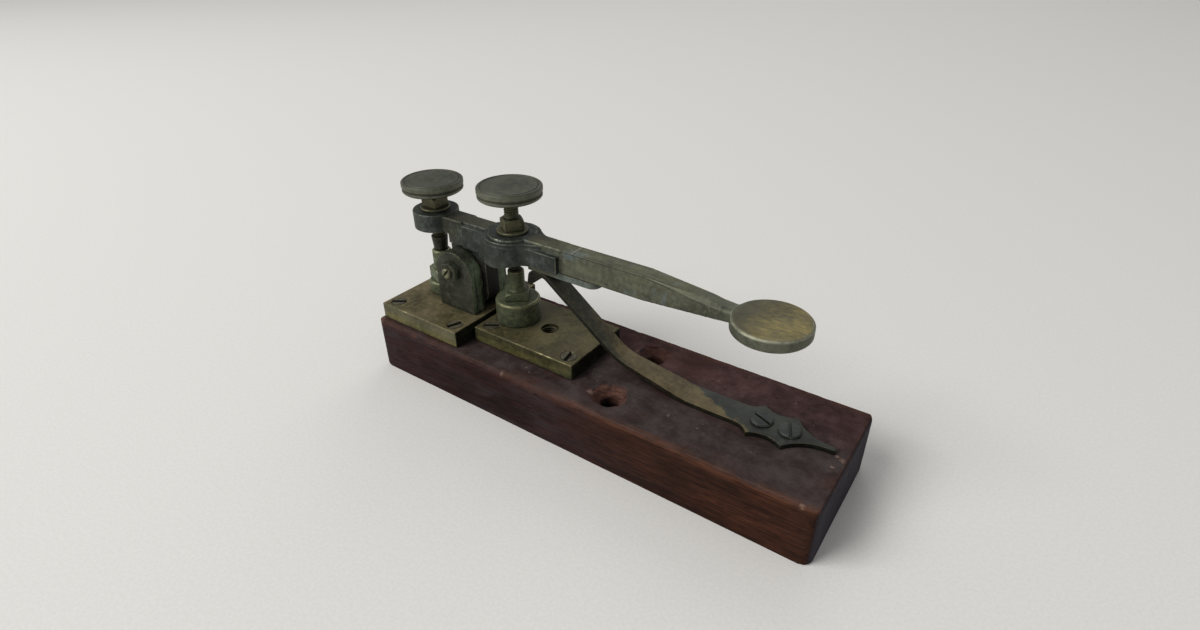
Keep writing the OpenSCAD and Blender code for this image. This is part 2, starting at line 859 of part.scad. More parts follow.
module front_lock_washer() { lock_washer(front_x); }

// Anvils: a collar or drum on the plate, a square nut, and a stud with a contact button on its top
stud_flare = 0.6;
stud_flare_h = 1.2;
stud_round = 0.6;
drum_edge = 0.6;

module anvil_seat(x, top, d, height) {
  color(patina_colour)
    translate([x, 0, top])
      difference() {
        rotate_extrude()
          polygon([
            [0, 0], [d / 2, 0], [d / 2, height - drum_edge], [d / 2 - drum_edge, height], [0, height]
          ]);
        translate([0, 0, -over])
          cylinder(h = height + 2 * over, d = stud_d + 2 * thread_clearance);
      }
}

module anvil_stud(x, shoulder_z, head_d, contact_z) {
  r = stud_d / 2;
  head_r = head_d / 2;
  stud_top = contact_z - button_h;
  color(patina_colour)
    translate([x, 0, 0])
      rotate_extrude()
        polygon([
          [0, base_h], [r, base_h], [r, shoulder_z], [head_r + stud_flare, shoulder_z],
          [head_r, shoulder_z + stud_flare_h], [head_r, stud_top - stud_round],
          [head_r - stud_round, stud_top], [0, stud_top]
        ]);
}

module anvil_button(x, contact_z) {
  color("silver")
    translate([x, 0, contact_z - button_h])
      cylinder(h = button_h, d = button_d);
}

module rear_anvil_collar() { anvil_seat(rear_x, rear_plate_top, collar_d, collar_h); }

module rear_anvil_nut() {
  square_nut(rear_x, rear_plate_top + collar_h, rear_anvil_nut_af, rear_anvil_nut_h,
             stud_d + 2 * thread_clearance, rear_anvil_nut_turn);
}

module rear_anvil_stud() {
  anvil_stud(rear_x, rear_plate_top + collar_h + rear_anvil_nut_h, rear_head_d, rear_contact_z);
}

module rear_anvil_button() { anvil_button(rear_x, rear_contact_z); }

module front_anvil_drum() { anvil_seat(front_x, front_plate_top, drum_d, drum_h); }

module front_anvil_nut() {
  square_nut(front_x, front_plate_top + drum_h, front_anvil_nut_af, front_anvil_nut_h,
             stud_d + 2 * thread_clearance, front_anvil_nut_turn);
}

module front_anvil_stud() {
  anvil_stud(front_x, front_plate_top + drum_h + front_anvil_nut_h, front_head_d, front_contact_z);
}

module front_anvil_button() { anvil_button(front_x, front_contact_z); }

// Leaf spring: the middle line of the strip in side view, with each bend drawn as an arc
spring_foot_z = base_h + spring_t / 2;
spring_pad_z = wear_bottom - rest_clearance - spring_t / 2;
foot_rear_x = foot_x - foot_l;
spring_lip_run = 1;
upper_fall = tan(spring_slope);
lower_fall = tan(spring_low_slope);
spring_bend_x = (spring_pad_z - spring_foot_z + pad_front_x * upper_fall - foot_rear_x * lower_fall)
  / (upper_fall - lower_fall);
spring_corners = [
  [foot_x, spring_foot_z],
  [foot_rear_x, spring_foot_z],
  [spring_bend_x, spring_foot_z + (foot_rear_x - spring_bend_x) * lower_fall],
  [pad_front_x, spring_pad_z],
  [pad_rear_x, spring_pad_z],
  [pad_rear_x - spring_lip_run, spring_pad_z - spring_lip_l]
];
spring_bend_radii = [40, 22, 4, 2];
bend_steps = 8;

function unit(v) = v / norm(v);
function left_of(v) = [-v.y, v.x];

// Points of an arc that rounds the corner b between a and c
function rounded_corner(a, b, c, radius) =
  let (
    u = unit(a - b),
    v = unit(c - b),
    half = acos(u * v) / 2,
    centre = b + unit(u + v) * radius / sin(half),
    from = b + u * radius / tan(half) - centre,
    to = b + v * radius / tan(half) - centre,
    start = atan2(from.y, from.x),
    turn = atan2(from.x * to.y - from.y * to.x, from * to)
  )
  [
    for (i = [0:bend_steps])
      let (angle = start + turn * i / bend_steps)
        centre + radius * [cos(angle), sin(angle)]
  ];

last_corner = len(spring_corners) - 1;
spring_line = concat(
  [spring_corners[0]],
  [
    for (i = [1:last_corner - 1])
      each rounded_corner(spring_corners[i - 1], spring_corners[i], spring_corners[i + 1],
                          spring_bend_radii[i - 1])
  ],
  [spring_corners[last_corner]]
);
last_point = len(spring_line) - 1;

// The line moved sideways by half the strip's thickness
function beside(distance) = [
  for (i = [0:last_point])
    spring_line[i]
      + distance * left_of(unit(spring_line[min(i + 1, last_point)] - spring_line[max(i - 1, 0)]))
];

module spring_side() {
  right = beside(-spring_t / 2);
  polygon(concat(beside(spring_t / 2), [for (i = [last_point:-1:0]) right[i]]));
}

// Radius of an arc that starts along X and rises by a height over a length
function arc_radius(length, height) = (length * length + height * height) / (2 * height);

// Plan of the spring: a strip, two pairs of cusps with hollow curves between them, and a drawn-out point
rear_cusp_l = 2.1;
foot_flare_l = 6.2;
foot_point_l = 1.8;
scallop_depth = 2.2;

module spring_plan() {
  rear_cusp = [rear_spring_screw_x - rear_cusp_l, foot_rear_cusp_w / 2];
  front_cusp = [front_spring_screw_x, foot_front_cusp_w / 2];
  strip_end = rear_cusp.x - foot_flare_l;
  point_start = foot_x - foot_point_l;
  half_end = spring_end_w / 2;
  half_strip = spring_w / 2;
  half_point = foot_point_w / 2;
  flare_r = arc_radius(rear_cusp.x - strip_end, rear_cusp.y - half_strip);
  point_r = arc_radius(point_start - front_cusp.x, front_cusp.y - half_point);
  scallop_r = arc_radius(norm(front_cusp - rear_cusp) / 2, scallop_depth);
  outline = [
    [pad_rear_x - spring_lip_run - spring_t, half_end], [spring_bend_x, half_end], [foot_rear_x, half_strip],
    [strip_end, half_strip], rear_cusp, front_cusp, [point_start, half_point], [foot_x, half_point]
  ];
  last = len(outline) - 1;
  difference() {
    polygon(concat(outline, [for (i = [last:-1:0]) [outline[i].x, -outline[i].y]]));
    for (side = [-1, 1]) {
      translate([strip_end, side * (half_strip + flare_r)])
        circle(flare_r);
      translate([(rear_cusp.x + front_cusp.x) / 2,
                 side * ((rear_cusp.y + front_cusp.y) / 2 - scallop_depth + scallop_r)])
        circle(scallop_r);
      translate([point_start, side * (half_point + point_r)])
        circle(point_r);
    }
  }
}

module leaf_spring() {
  color(spring_colour)
    difference() {
      intersection() {
        translate([0, base_w / 2, 0])
          rotate([90, 0, 0])
            linear_extrude(base_w)
              spring_side();
        translate([0, 0, base_h - over])
          linear_extrude(lever_top - base_h)
            spring_plan();
      }
      for (place = spring_screw_places)
        translate([place.x, place.y, base_h - over])
          cylinder(h = spring_t + 2 * over, d = spring_screw_d + 2 * thread_clearance);
    }
}

module spring_screws() {
  r = spring_screw_d / 2;
  head_r = spring_screw_head_d / 2;
  head_edge = 0.4 * spring_screw_head_h;
  slot_depth = 0.7 * spring_screw_head_h;
  color(steel_colour)
    for (i = [0:1])
      translate([spring_screw_places[i].x, spring_screw_places[i].y, base_h + spring_t])
        difference() {
          rotate_extrude()
            polygon([
              [0, spring_screw_head_h], [head_r - head_edge, spring_screw_head_h],
              [head_r, spring_screw_head_h - head_edge], [head_r, 0], [r, 0],
              [r, wood_screw_point_h - spring_screw_l], [r / 4, -spring_screw_l], [0, -spring_screw_l]
            ]);
          translate([0, 0, spring_screw_head_h])
            slot_cut(spring_screw_head_d, slot_w, slot_depth, spring_slot_turns[i]);
        }
}

base();
rear_plate();
front_plate();
rear_plate_screws();
front_plate_screws();
near_bearing_block();
far_bearing_block();
bearing_block_screws();
near_pivot_screw();
far_pivot_screw();
near_pivot_nut();
far_pivot_nut();
lever();
wear_plate();
wear_plate_screw();
rear_contact_tip();
rear_adjusting_screw();
rear_knob();
rear_lock_nut();
rear_lock_washer();
front_contact_tip();
front_adjusting_screw();
front_knob();
front_lock_nut();
front_lock_washer();
rear_anvil_collar();
rear_anvil_nut();
rear_anvil_stud();
rear_anvil_button();
front_anvil_drum();
front_anvil_nut();
front_anvil_stud();
front_anvil_button();
leaf_spring();
spring_screws();
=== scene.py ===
"""Looks of a worn brass telegraph key on a mahogany base.

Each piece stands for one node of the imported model. Its mesh has rubbed edges, cut threads or chips, and its
finish is an aged metal or wood."""

import json
import math

import bmesh
import bpy
from mathutils import Matrix, Vector, noise
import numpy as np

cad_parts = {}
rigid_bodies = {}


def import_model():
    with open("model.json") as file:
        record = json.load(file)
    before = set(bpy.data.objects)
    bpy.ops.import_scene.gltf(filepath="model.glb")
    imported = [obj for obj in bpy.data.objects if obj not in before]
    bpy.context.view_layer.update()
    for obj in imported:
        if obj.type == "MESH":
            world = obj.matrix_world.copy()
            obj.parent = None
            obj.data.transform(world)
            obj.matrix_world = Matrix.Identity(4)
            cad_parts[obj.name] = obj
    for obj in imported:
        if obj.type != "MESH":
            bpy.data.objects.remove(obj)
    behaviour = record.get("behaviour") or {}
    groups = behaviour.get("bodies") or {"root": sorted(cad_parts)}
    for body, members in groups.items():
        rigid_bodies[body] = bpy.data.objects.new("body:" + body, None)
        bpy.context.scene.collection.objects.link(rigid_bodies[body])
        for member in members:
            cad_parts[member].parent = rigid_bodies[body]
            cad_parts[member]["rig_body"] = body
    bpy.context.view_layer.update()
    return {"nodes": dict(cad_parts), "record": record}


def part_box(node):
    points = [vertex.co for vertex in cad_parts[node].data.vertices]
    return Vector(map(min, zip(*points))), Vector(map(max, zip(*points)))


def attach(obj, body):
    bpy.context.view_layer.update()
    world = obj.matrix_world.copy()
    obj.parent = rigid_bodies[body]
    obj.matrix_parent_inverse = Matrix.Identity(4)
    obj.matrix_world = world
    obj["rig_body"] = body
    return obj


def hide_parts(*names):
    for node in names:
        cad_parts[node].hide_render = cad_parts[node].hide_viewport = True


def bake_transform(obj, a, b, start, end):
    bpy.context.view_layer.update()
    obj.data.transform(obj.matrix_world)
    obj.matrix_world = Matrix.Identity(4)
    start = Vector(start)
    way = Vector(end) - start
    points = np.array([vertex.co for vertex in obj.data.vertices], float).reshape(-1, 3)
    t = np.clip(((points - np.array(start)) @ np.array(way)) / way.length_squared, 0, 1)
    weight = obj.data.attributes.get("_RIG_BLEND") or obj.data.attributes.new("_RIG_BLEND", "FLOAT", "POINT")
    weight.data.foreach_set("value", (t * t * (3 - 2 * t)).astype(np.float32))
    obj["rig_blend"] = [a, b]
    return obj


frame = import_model()
MM = 0.001

# Camera at the photograph's viewing angle, in millimetres and degrees

CAMERA_PLACE = Vector((127.162, -180.206, 177.485))
CAMERA_AZIMUTH = math.radians(-35.084)
CAMERA_ELEVATION = math.radians(30.938)
CAMERA_ROLL = math.radians(0.373)
CAMERA_LENS = 20.165
CAMERA_CLIP = 10
SENSOR_WIDTH = 36


def make_camera():
    level = math.cos(CAMERA_ELEVATION)
    ahead = Vector(
        (math.sin(CAMERA_AZIMUTH) * level, math.cos(CAMERA_AZIMUTH) * level, -math.sin(CAMERA_ELEVATION))
    )
    right = Vector((math.cos(CAMERA_AZIMUTH), -math.sin(CAMERA_AZIMUTH), 0))
    down = ahead.cross(right)
    turned_right = math.cos(CAMERA_ROLL) * right + math.sin(CAMERA_ROLL) * down
    turned_up = math.sin(CAMERA_ROLL) * right - math.cos(CAMERA_ROLL) * down
    data = bpy.data.cameras.new("camera")
    data.lens = CAMERA_LENS
    data.sensor_width = SENSOR_WIDTH
    data.clip_start = CAMERA_CLIP * MM
    camera = bpy.data.objects.new("camera", data)
    turn = Matrix((turned_right, turned_up, -ahead)).transposed().to_4x4()
    camera.matrix_world = Matrix.Translation(CAMERA_PLACE * MM) @ turn
    bpy.context.scene.collection.objects.link(camera)
    bpy.context.scene.camera = camera


# Light and floor

FLOOR_SIZE = 16
FLOOR_COLOURS = ("#d9d6d0", "#dedbd6")
FLOOR_SPECKLE = 900
FLOOR_ROUGHNESS = 0.85
WORLD_COLOUR = "#f2f4f7"
WORLD_STRENGTH = 0.4
LIGHTS = (
    # name, place in metres, size in metres, power in watts
    ("key", (-1.2, -1.5, 2.0), 1.5, 62),
    ("back", (-0.6, 2.2, 1.8), 1.8, 12),
)


def linear(colour):
    """A hex colour as the linear numbers that shaders take."""
    parts = [int(colour[i : i + 2], 16) / 255 for i in (1, 3, 5)]
    return tuple(p / 12.92 if p <= 0.04045 else ((p + 0.055) / 1.055) ** 2.4 for p in parts) + (1.0,)


def make_stage():
    bpy.ops.mesh.primitive_plane_add(size=FLOOR_SIZE)
    floor = bpy.context.object
    floor.name = "floor"
    graph = Graph("floor")
    speckle = graph.noise(FLOOR_SPECKLE, detail=3)
    graph.set("Base Color", graph.mix(graph.ramp(speckle, 0.35, 0.65), *FLOOR_COLOURS))
    graph.set("Roughness", FLOOR_ROUGHNESS)
    floor.data.materials.append(graph.material)
    world = bpy.data.worlds.new("studio")
    world.use_nodes = True
    background = world.node_tree.nodes["Background"]
    background.inputs["Color"].default_value = linear(WORLD_COLOUR)
    background.inputs["Strength"].default_value = WORLD_STRENGTH
    bpy.context.scene.world = world
    for name, place, size, power in LIGHTS:
        data = bpy.data.lights.new(name, "AREA")
        data.size = size
        data.energy = power
        lamp = bpy.data.objects.new(name, data)
        lamp.location = place
        lamp.rotation_euler = (-Vector(place)).to_track_quat("-Z", "Y").to_euler()
        bpy.context.scene.collection.objects.link(lamp)


class Graph:
    """A material's node graph, with short calls for the nodes that the finishes share."""

    def __init__(self, name):
        self.material = bpy.data.materials.new(name)
        self.material.use_nodes = True
        self.tree = self.material.node_tree
        self.shader = self.tree.nodes["Principled BSDF"]
        self.place = self.node("ShaderNodeTexCoord").outputs["Object"]
        self.normal = self.node("ShaderNodeNewGeometry").outputs["Normal"]

    def node(self, kind, **settings):
        made = self.tree.nodes.new(kind)
        for key, value in settings.items():
            setattr(made, key, value)
        return made

    def put(self, socket, value):
        """Links a socket, or sets a number or a colour."""
        if isinstance(value, bpy.types.NodeSocket):
            self.tree.links.new(value, socket)
        elif isinstance(value, str):
            socket.default_value = linear(value)
        else:
            socket.default_value = value

    def set(self, name, value):
        self.put(self.shader.inputs[name], value)

    def turned(self, angles):
        """The place on the surface, turned about the origin by some small angles."""
        mapping = self.node("ShaderNodeMapping")
        self.put(mapping.inputs["Vector"], self.place)
        mapping.inputs["Rotation"].default_value = angles
        return mapping.outputs[0]

    def noise(self, scale, detail=5, roughness=0.6, stretch=(1, 1, 1), distortion=0.0):
        """Noise from 0 to 1. The scale is in features per metre, and stretch thins it along each axis."""
        mapping = self.node("ShaderNodeMapping")
        self.put(mapping.inputs["Vector"], self.place)
        mapping.inputs["Scale"].default_value = [scale * s for s in stretch]
        texture = self.node("ShaderNodeTexNoise")
        self.put(texture.inputs["Vector"], mapping.outputs[0])
        self.put(texture.inputs["Scale"], 1.0)
        self.put(texture.inputs["Detail"], detail)
        self.put(texture.inputs["Roughness"], roughness)
        self.put(texture.inputs["Distortion"], distortion)
        return texture.outputs[0]

    def ramp(self, value, low, high, to_low=0.0, to_high=1.0):
        """A smooth step of value from low to high."""
        step = self.node("ShaderNodeMapRange", interpolation_type="SMOOTHSTEP")
        for socket, number in zip(step.inputs, (value, low, high, to_low, to_high)):
            self.put(socket, number)
        return step.outputs[0]

    def fall(self, value, low, high):
        """A smooth step of value, from 1 at low to 0 at high."""
        return self.ramp(value, low, high, 1.0, 0.0)

    def mix(self, share, first, second):
        """The first colour where share is 0, the second where it is 1."""
        mixer = self.node("ShaderNodeMix", data_type="RGBA")
        for index, value in ((0, share), (6, first), (7, second)):
            self.put(mixer.inputs[index], value)
        return mixer.outputs[2]

    def math(self, operation, first, second=0.0):
        made = self.node("ShaderNodeMath", operation=operation)
        self.put(made.inputs[0], first)
        self.put(made.inputs[1], second)
        return made.outputs[0]

    def times(self, *values):
        product = values[0]
        for value in values[1:]:
            product = self.math("MULTIPLY", product, value)
        return product

    def inverse(self, share):
        """What is left of 1 beside a share."""
        return self.math("SUBTRACT", 1.0, share)

    def axis(self, vector, letter):
        """One of a vector's three numbers."""
        split = self.node("ShaderNodeSeparateXYZ")
        self.put(split.inputs[0], vector)
        return split.outputs[letter]

    def distance(self, place, point):
        """How far a place is from a fixed point."""
        away = self.node("ShaderNodeVectorMath", operation="DISTANCE")
        self.put(away.inputs[0], place)
        self.put(away.inputs[1], point)
        return away.outputs["Value"]

    def attribute(self, name):
        return self.node("ShaderNodeAttribute", attribute_name=name).outputs["Fac"]

    def crevice(self, distance):
        """0 in the open, towards 1 in corners and under other pieces."""
        shade = self.node("ShaderNodeAmbientOcclusion", samples=8)
        self.put(shade.inputs["Distance"], distance)
        return self.inverse(shade.outputs["AO"])

    def bump(self, height, depth, strength=1.0):
        made = self.node("ShaderNodeBump")
        self.put(made.inputs["Height"], height)
        self.put(made.inputs["Distance"], depth)
        self.put(made.inputs["Strength"], strength)
        self.set("Normal", made.outputs[0])


# Finishes


METALLIC = 0.45
BARE_METALLIC = 0.9
METAL_SPECULAR = 0.2
WOOD_SPECULAR = 0.03
# Colours of dirt with painted shade, laid where occlusion finds corners, and of a painted shade line in
# crevices
DIRT_AND_SHADE = "#1b1a16"
CREVICE_SHADE = "#151410"


def aged_metal(name, dark, middle, light, patina, worn, patina_share=0.42, wear=0.6, zones=None, rub=None):
    """Old brass or steel: mottled colour, patches of patina, scratches, dirt and painted shade in corners,
    bright worn edges.
    Zones is a function that returns more (share, dark, light) layers, painted over the mottled colour.
    Rub is one that returns how much of the edges' wear each place gets."""
    graph = Graph(name)
    cloud = graph.noise(75, detail=8, roughness=0.65)
    mottle = graph.noise(520, detail=7, roughness=0.72)
    grit = graph.noise(2600, detail=3)
    tone = graph.ramp(graph.math("ADD", graph.times(cloud, 0.5), graph.times(mottle, 0.5)), 0.38, 0.62)
    colour = graph.mix(graph.ramp(cloud, 0.3, 0.64), dark, middle)
    colour = graph.mix(graph.times(graph.ramp(mottle, 0.42, 0.7), 0.7), colour, light)
    for share, low, high in zones(graph) if zones else ():
        colour = graph.mix(share, colour, graph.mix(tone, low, high))
    corner = graph.crevice(5 * MM)
    spread = graph.noise(150, detail=9, roughness=0.74, distortion=0.4)
    reach = graph.math("ADD", spread, graph.times(corner, 0.25))
    patches = graph.ramp(reach, 0.96 - patina_share, 1.14 - patina_share)
    colour = graph.mix(graph.times(patches, 0.7), colour, patina)
    lengthways = graph.ramp(graph.noise(1, detail=4, stretch=(90, 2400, 2400), distortion=0.2), 0.66, 0.72)
    crossways = graph.ramp(graph.noise(1, detail=4, stretch=(2000, 120, 2000), distortion=0.3), 0.68, 0.73)
    scratch = graph.math("MAXIMUM", lengthways, crossways)
    colour = graph.mix(graph.times(scratch, 0.4), colour, light)
    pits = graph.ramp(grit, 0.66, 0.76)
    colour = graph.mix(graph.times(pits, 0.55), colour, dark)
    # Dirt and painted shade: darkens the colour where occlusion finds corners and pieces close by
    dirt_and_shade = graph.ramp(graph.math("ADD", corner, graph.times(mottle, 0.2)), 0.38, 0.95)
    colour = graph.mix(graph.times(dirt_and_shade, 0.75), colour, DIRT_AND_SHADE)
    # A painted shade line in narrow crevices and grooves
    crevice_shade_line = graph.ramp(graph.crevice(1.2 * MM), 0.22, 0.7)
    colour = graph.mix(graph.times(crevice_shade_line, 0.7), colour, CREVICE_SHADE)
    uneven = graph.ramp(graph.noise(330, detail=6, roughness=0.7), 0.34, 0.6)
    rubbed = graph.times(graph.attribute("edge"), uneven)
    if rub:
        rubbed = graph.times(rubbed, rub(graph))
    colour = graph.mix(graph.times(rubbed, wear), colour, worn)
    graph.set("Base Color", colour)
    bare = graph.math("ADD", rubbed, graph.times(scratch, 0.4))
    graph.set("Metallic", graph.ramp(bare, 0.0, 1.0, METALLIC, BARE_METALLIC))
    graph.set("Specular IOR Level", METAL_SPECULAR)
    smooth = graph.math("SUBTRACT", mottle, graph.times(rubbed, 0.2))
    graph.set("Roughness", graph.ramp(smooth, 0.2, 0.8, 0.42, 0.68))
    relief = graph.math("SUBTRACT", graph.math("ADD", graph.times(mottle, 0.6), graph.times(grit, 0.4)), pits)
    graph.bump(relief, 0.12 * MM, 0.55)
    return graph.material


def facing_up(graph):
    """1 on the faces that look up."""
    return graph.ramp(graph.axis(graph.normal, "Z"), 0.5, 0.9)


def facing(graph, letter, low=0.5, high=0.9):
    """1 on the faces that look along an axis, either way."""
    return graph.ramp(graph.math("ABSOLUTE", graph.axis(graph.normal, letter)), low, high)


def plate_zones(graph):
    """Tan patches on the plates' tops, yellow low on their sides, and painted black shade on their front
    ends.
    """
    low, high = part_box("front_plate")
    top = facing_up(graph)
    patch = graph.ramp(graph.noise(60, detail=7, roughness=0.6), 0.4, 0.62)
    on_rear = graph.fall(graph.axis(graph.place, "X"), low.x - 1 * MM, low.x)
    side = facing(graph, "Y")
    lower = graph.fall(graph.axis(graph.place, "Z"), low.z + 1 * MM, high.z - 1 * MM)
    streak = graph.ramp(graph.noise(1, detail=7, roughness=0.65, stretch=(60, 200, 300)), 0.36, 0.58)
    front = graph.ramp(graph.axis(graph.normal, "X"), 0.6, 0.9)
    return [
        (graph.times(top, patch, 0.8), "#3f3b2a", "#58503a"),
        (graph.times(top, patch, on_rear, 0.8), "#5f553d", "#877a5a"),
        (graph.times(side, 0.7), "#32301f", "#4b4831"),
        (graph.times(side, on_rear, 0.7), "#4f4c36", "#716d56"),
        (graph.times(side, lower, streak, 0.85), "#605c36", "#857e51"),
        # Painted shade: the front ends, turned away from the light, are painted near black
        (graph.times(front, 0.95), "#0c0c09", "#191811"),
    ]


def plate_rub(graph):
    """Stretches of the plates' edges are rubbed and others are not."""
    return graph.ramp(graph.noise(55, detail=6, roughness=0.65), 0.46, 0.62)


def block_zones(graph):
    """Scuffs on the bearing blocks, and green streaks that ran down their ends, painted lighter to brighten
    those shaded ends.
    """
    end = facing(graph, "X")
    streak = graph.ramp(graph.noise(1, detail=6, stretch=(400, 400, 60), distortion=0.3), 0.36, 0.56)
    scuffs = graph.ramp(graph.noise(210, detail=9, roughness=0.75, distortion=0.6), 0.5, 0.66)
    return [
        (graph.times(scuffs, 0.7), "#42443c", "#5c5f53"),
        # Painted light: the green streaks are made lighter, so that the ends in shade look brighter
        (graph.times(end, streak, 0.85), "#5a6650", "#869478"),
    ]


# The groove round each knob, above the knob's underside, in metres
GROOVE_LOW = 1.65 * MM
GROOVE_HIGH = 2.15 * MM


def knob_zones(graph):
    """Olive brass on the parts below the knobs, and paler sides on the knobs, with painted shade in their
    grooves.
    """
    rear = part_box("rear_knob")
    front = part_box("front_knob")
    underside = graph.ramp(graph.axis(graph.place, "X"), rear[1].x, front[0].x, rear[0].z, front[0].z)
    height = graph.math("SUBTRACT", graph.axis(graph.place, "Z"), underside)
    below = graph.fall(height, -0.2 * MM, 0)
    # Painted shade: the groove round each knob's side is painted dark
    groove = graph.times(
        graph.ramp(height, GROOVE_LOW - 0.3 * MM, GROOVE_LOW),
        graph.fall(height, GROOVE_HIGH, GROOVE_HIGH + 0.3 * MM),
    )
    side = graph.inverse(facing(graph, "Z", 0.3, 0.7))
    return [
        (graph.times(side, 0.8), "#53564b", "#717261"),
        (graph.times(groove, 0.5), "#20211b", "#2f302a"),
        (graph.times(below, 0.8), "#42402c", "#6d684b"),
    ]


def anvil_zones(graph):
    """A light green bloom on the rear anvil, partly a painted highlight."""
    rear_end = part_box("rear_anvil_collar")[1].x
    rear = graph.fall(graph.axis(graph.place, "X"), rear_end + 1 * MM, rear_end + 2 * MM)
    # Green bloom with a painted highlight, lightening the rear anvil
    bloom_and_highlight = graph.ramp(graph.noise(300, detail=7, roughness=0.7), 0.38, 0.6)
    return [(graph.times(rear, bloom_and_highlight, 0.75), "#525b46", "#80886c")]


def on_plates(graph):
    """1 on the wood screws of the two plates, 0 on the other screws."""
    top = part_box("rear_plate")[1].z
    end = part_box("front_plate")[1].x
    low = graph.fall(graph.axis(graph.place, "Z"), top + 1 * MM, top + 2 * MM)
    return graph.times(low, graph.fall(graph.axis(graph.place, "X"), end + 1 * MM, end + 2 * MM))


def screw_zones(graph):
    """Slate heads on the foot, pale olive ends on the pivot screws, and painted shade round the plates' screw
    heads.
    """
    foot_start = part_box("spring_screws")[0].x
    pivot_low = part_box("near_pivot_screw")[0].z
    foot = graph.ramp(graph.axis(graph.place, "X"), foot_start - 2 * MM, foot_start - 1 * MM)
    pivot = graph.ramp(graph.axis(graph.place, "Z"), pivot_low - 2 * MM, pivot_low - 1 * MM)
    rim = graph.times(on_plates(graph), graph.attribute("edge"))
    return [
        (graph.times(foot, 0.9), "#232828", "#3e4341"),
        (graph.times(pivot, 0.8), "#595943", "#817f61"),
        # Painted shade: the chamfer round each plate screw's head is painted near black, as the shade of a
        # gap
        (graph.times(rim, 0.95), "#0e0d0b", "#181511"),
    ]


def screw_rub(graph):
    """The plates' screws are not rubbed bright."""
    return graph.inverse(on_plates(graph))


# Places on the lever where its shape or its finish changes, from rear to front, in metres
EYE_FRONT_X = -77 * MM
CHEEK_REAR_X = -65 * MM
BOSS_REAR_X = -51 * MM
BOSS_FRONT_X = -31 * MM
CHEEK_FRONT_X = -15.5 * MM
BAR_HIGHLIGHT_X = -9.6 * MM
DISC_REAR_X = 53 * MM
DISC_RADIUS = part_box("lever")[1].y
DISC_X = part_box("lever")[1].x - DISC_RADIUS
BAR_HALF_WIDTH = 3.7 * MM
BAR_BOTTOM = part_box("wear_plate")[1].z
LUG_TOP = 55 * MM
LEVER_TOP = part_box("lever")[1].z
DISC_TOP = LEVER_TOP - 3.4 * MM


def along_bar(graph):
    """1 on the plain part of the bar, 0 on the cheeks and towards the finger disc."""
    along = graph.axis(graph.place, "X")
    front = graph.ramp(along, CHEEK_FRONT_X, CHEEK_FRONT_X + 1 * MM)
    return graph.times(front, graph.fall(along, DISC_REAR_X - 22 * MM, DISC_REAR_X - 12 * MM))


def lever_rub(graph):
    """The lever's edges are hardly rubbed on the bar, more on the cheeks, and most round the disc."""
    towards_disc = graph.ramp(graph.axis(graph.place, "X"), DISC_REAR_X - 3 * MM, DISC_REAR_X, 1.1, 2.5)
    return graph.math("SUBTRACT", towards_disc, along_bar(graph))


def bar_zones(graph):
    """Olive brass on the bar, with streaks, a blue film, dark edges and a painted highlight across its top.
    """
    along = graph.axis(graph.place, "X")
    top = facing_up(graph)
    bar = along_bar(graph)
    bar_top = graph.times(top, graph.fall(along, DISC_REAR_X - 20 * MM, DISC_REAR_X))
    streaks = graph.noise(1, detail=7, roughness=0.7, stretch=(55, 420, 420), distortion=0.3)
    film = graph.ramp(graph.noise(110, detail=9, roughness=0.72), 0.52, 0.64)
    edges = graph.ramp(graph.attribute("edge"), 0.02, 0.3)
    # A painted highlight: a pale line across the bar's top, where a small step would catch the light
    from_highlight = graph.math("ABSOLUTE", graph.math("SUBTRACT", along, BAR_HIGHLIGHT_X))
    step_highlight = graph.times(top, graph.fall(from_highlight, 0.15 * MM, 0.5 * MM))
    return [
        (graph.times(bar_top, 0.85), "#3e3d2e", "#5b5943"),
        (graph.times(bar, graph.ramp(streaks, 0.4, 0.6), 0.6), "#525343", "#74745e"),
        (graph.times(bar, film, 0.55), "#596768", "#727f80"),
        (graph.times(bar, edges, 0.6), "#1b1c14", "#282920"),
        (graph.times(step_highlight, 0.75), "#6f6f62", "#98988a"),
    ]


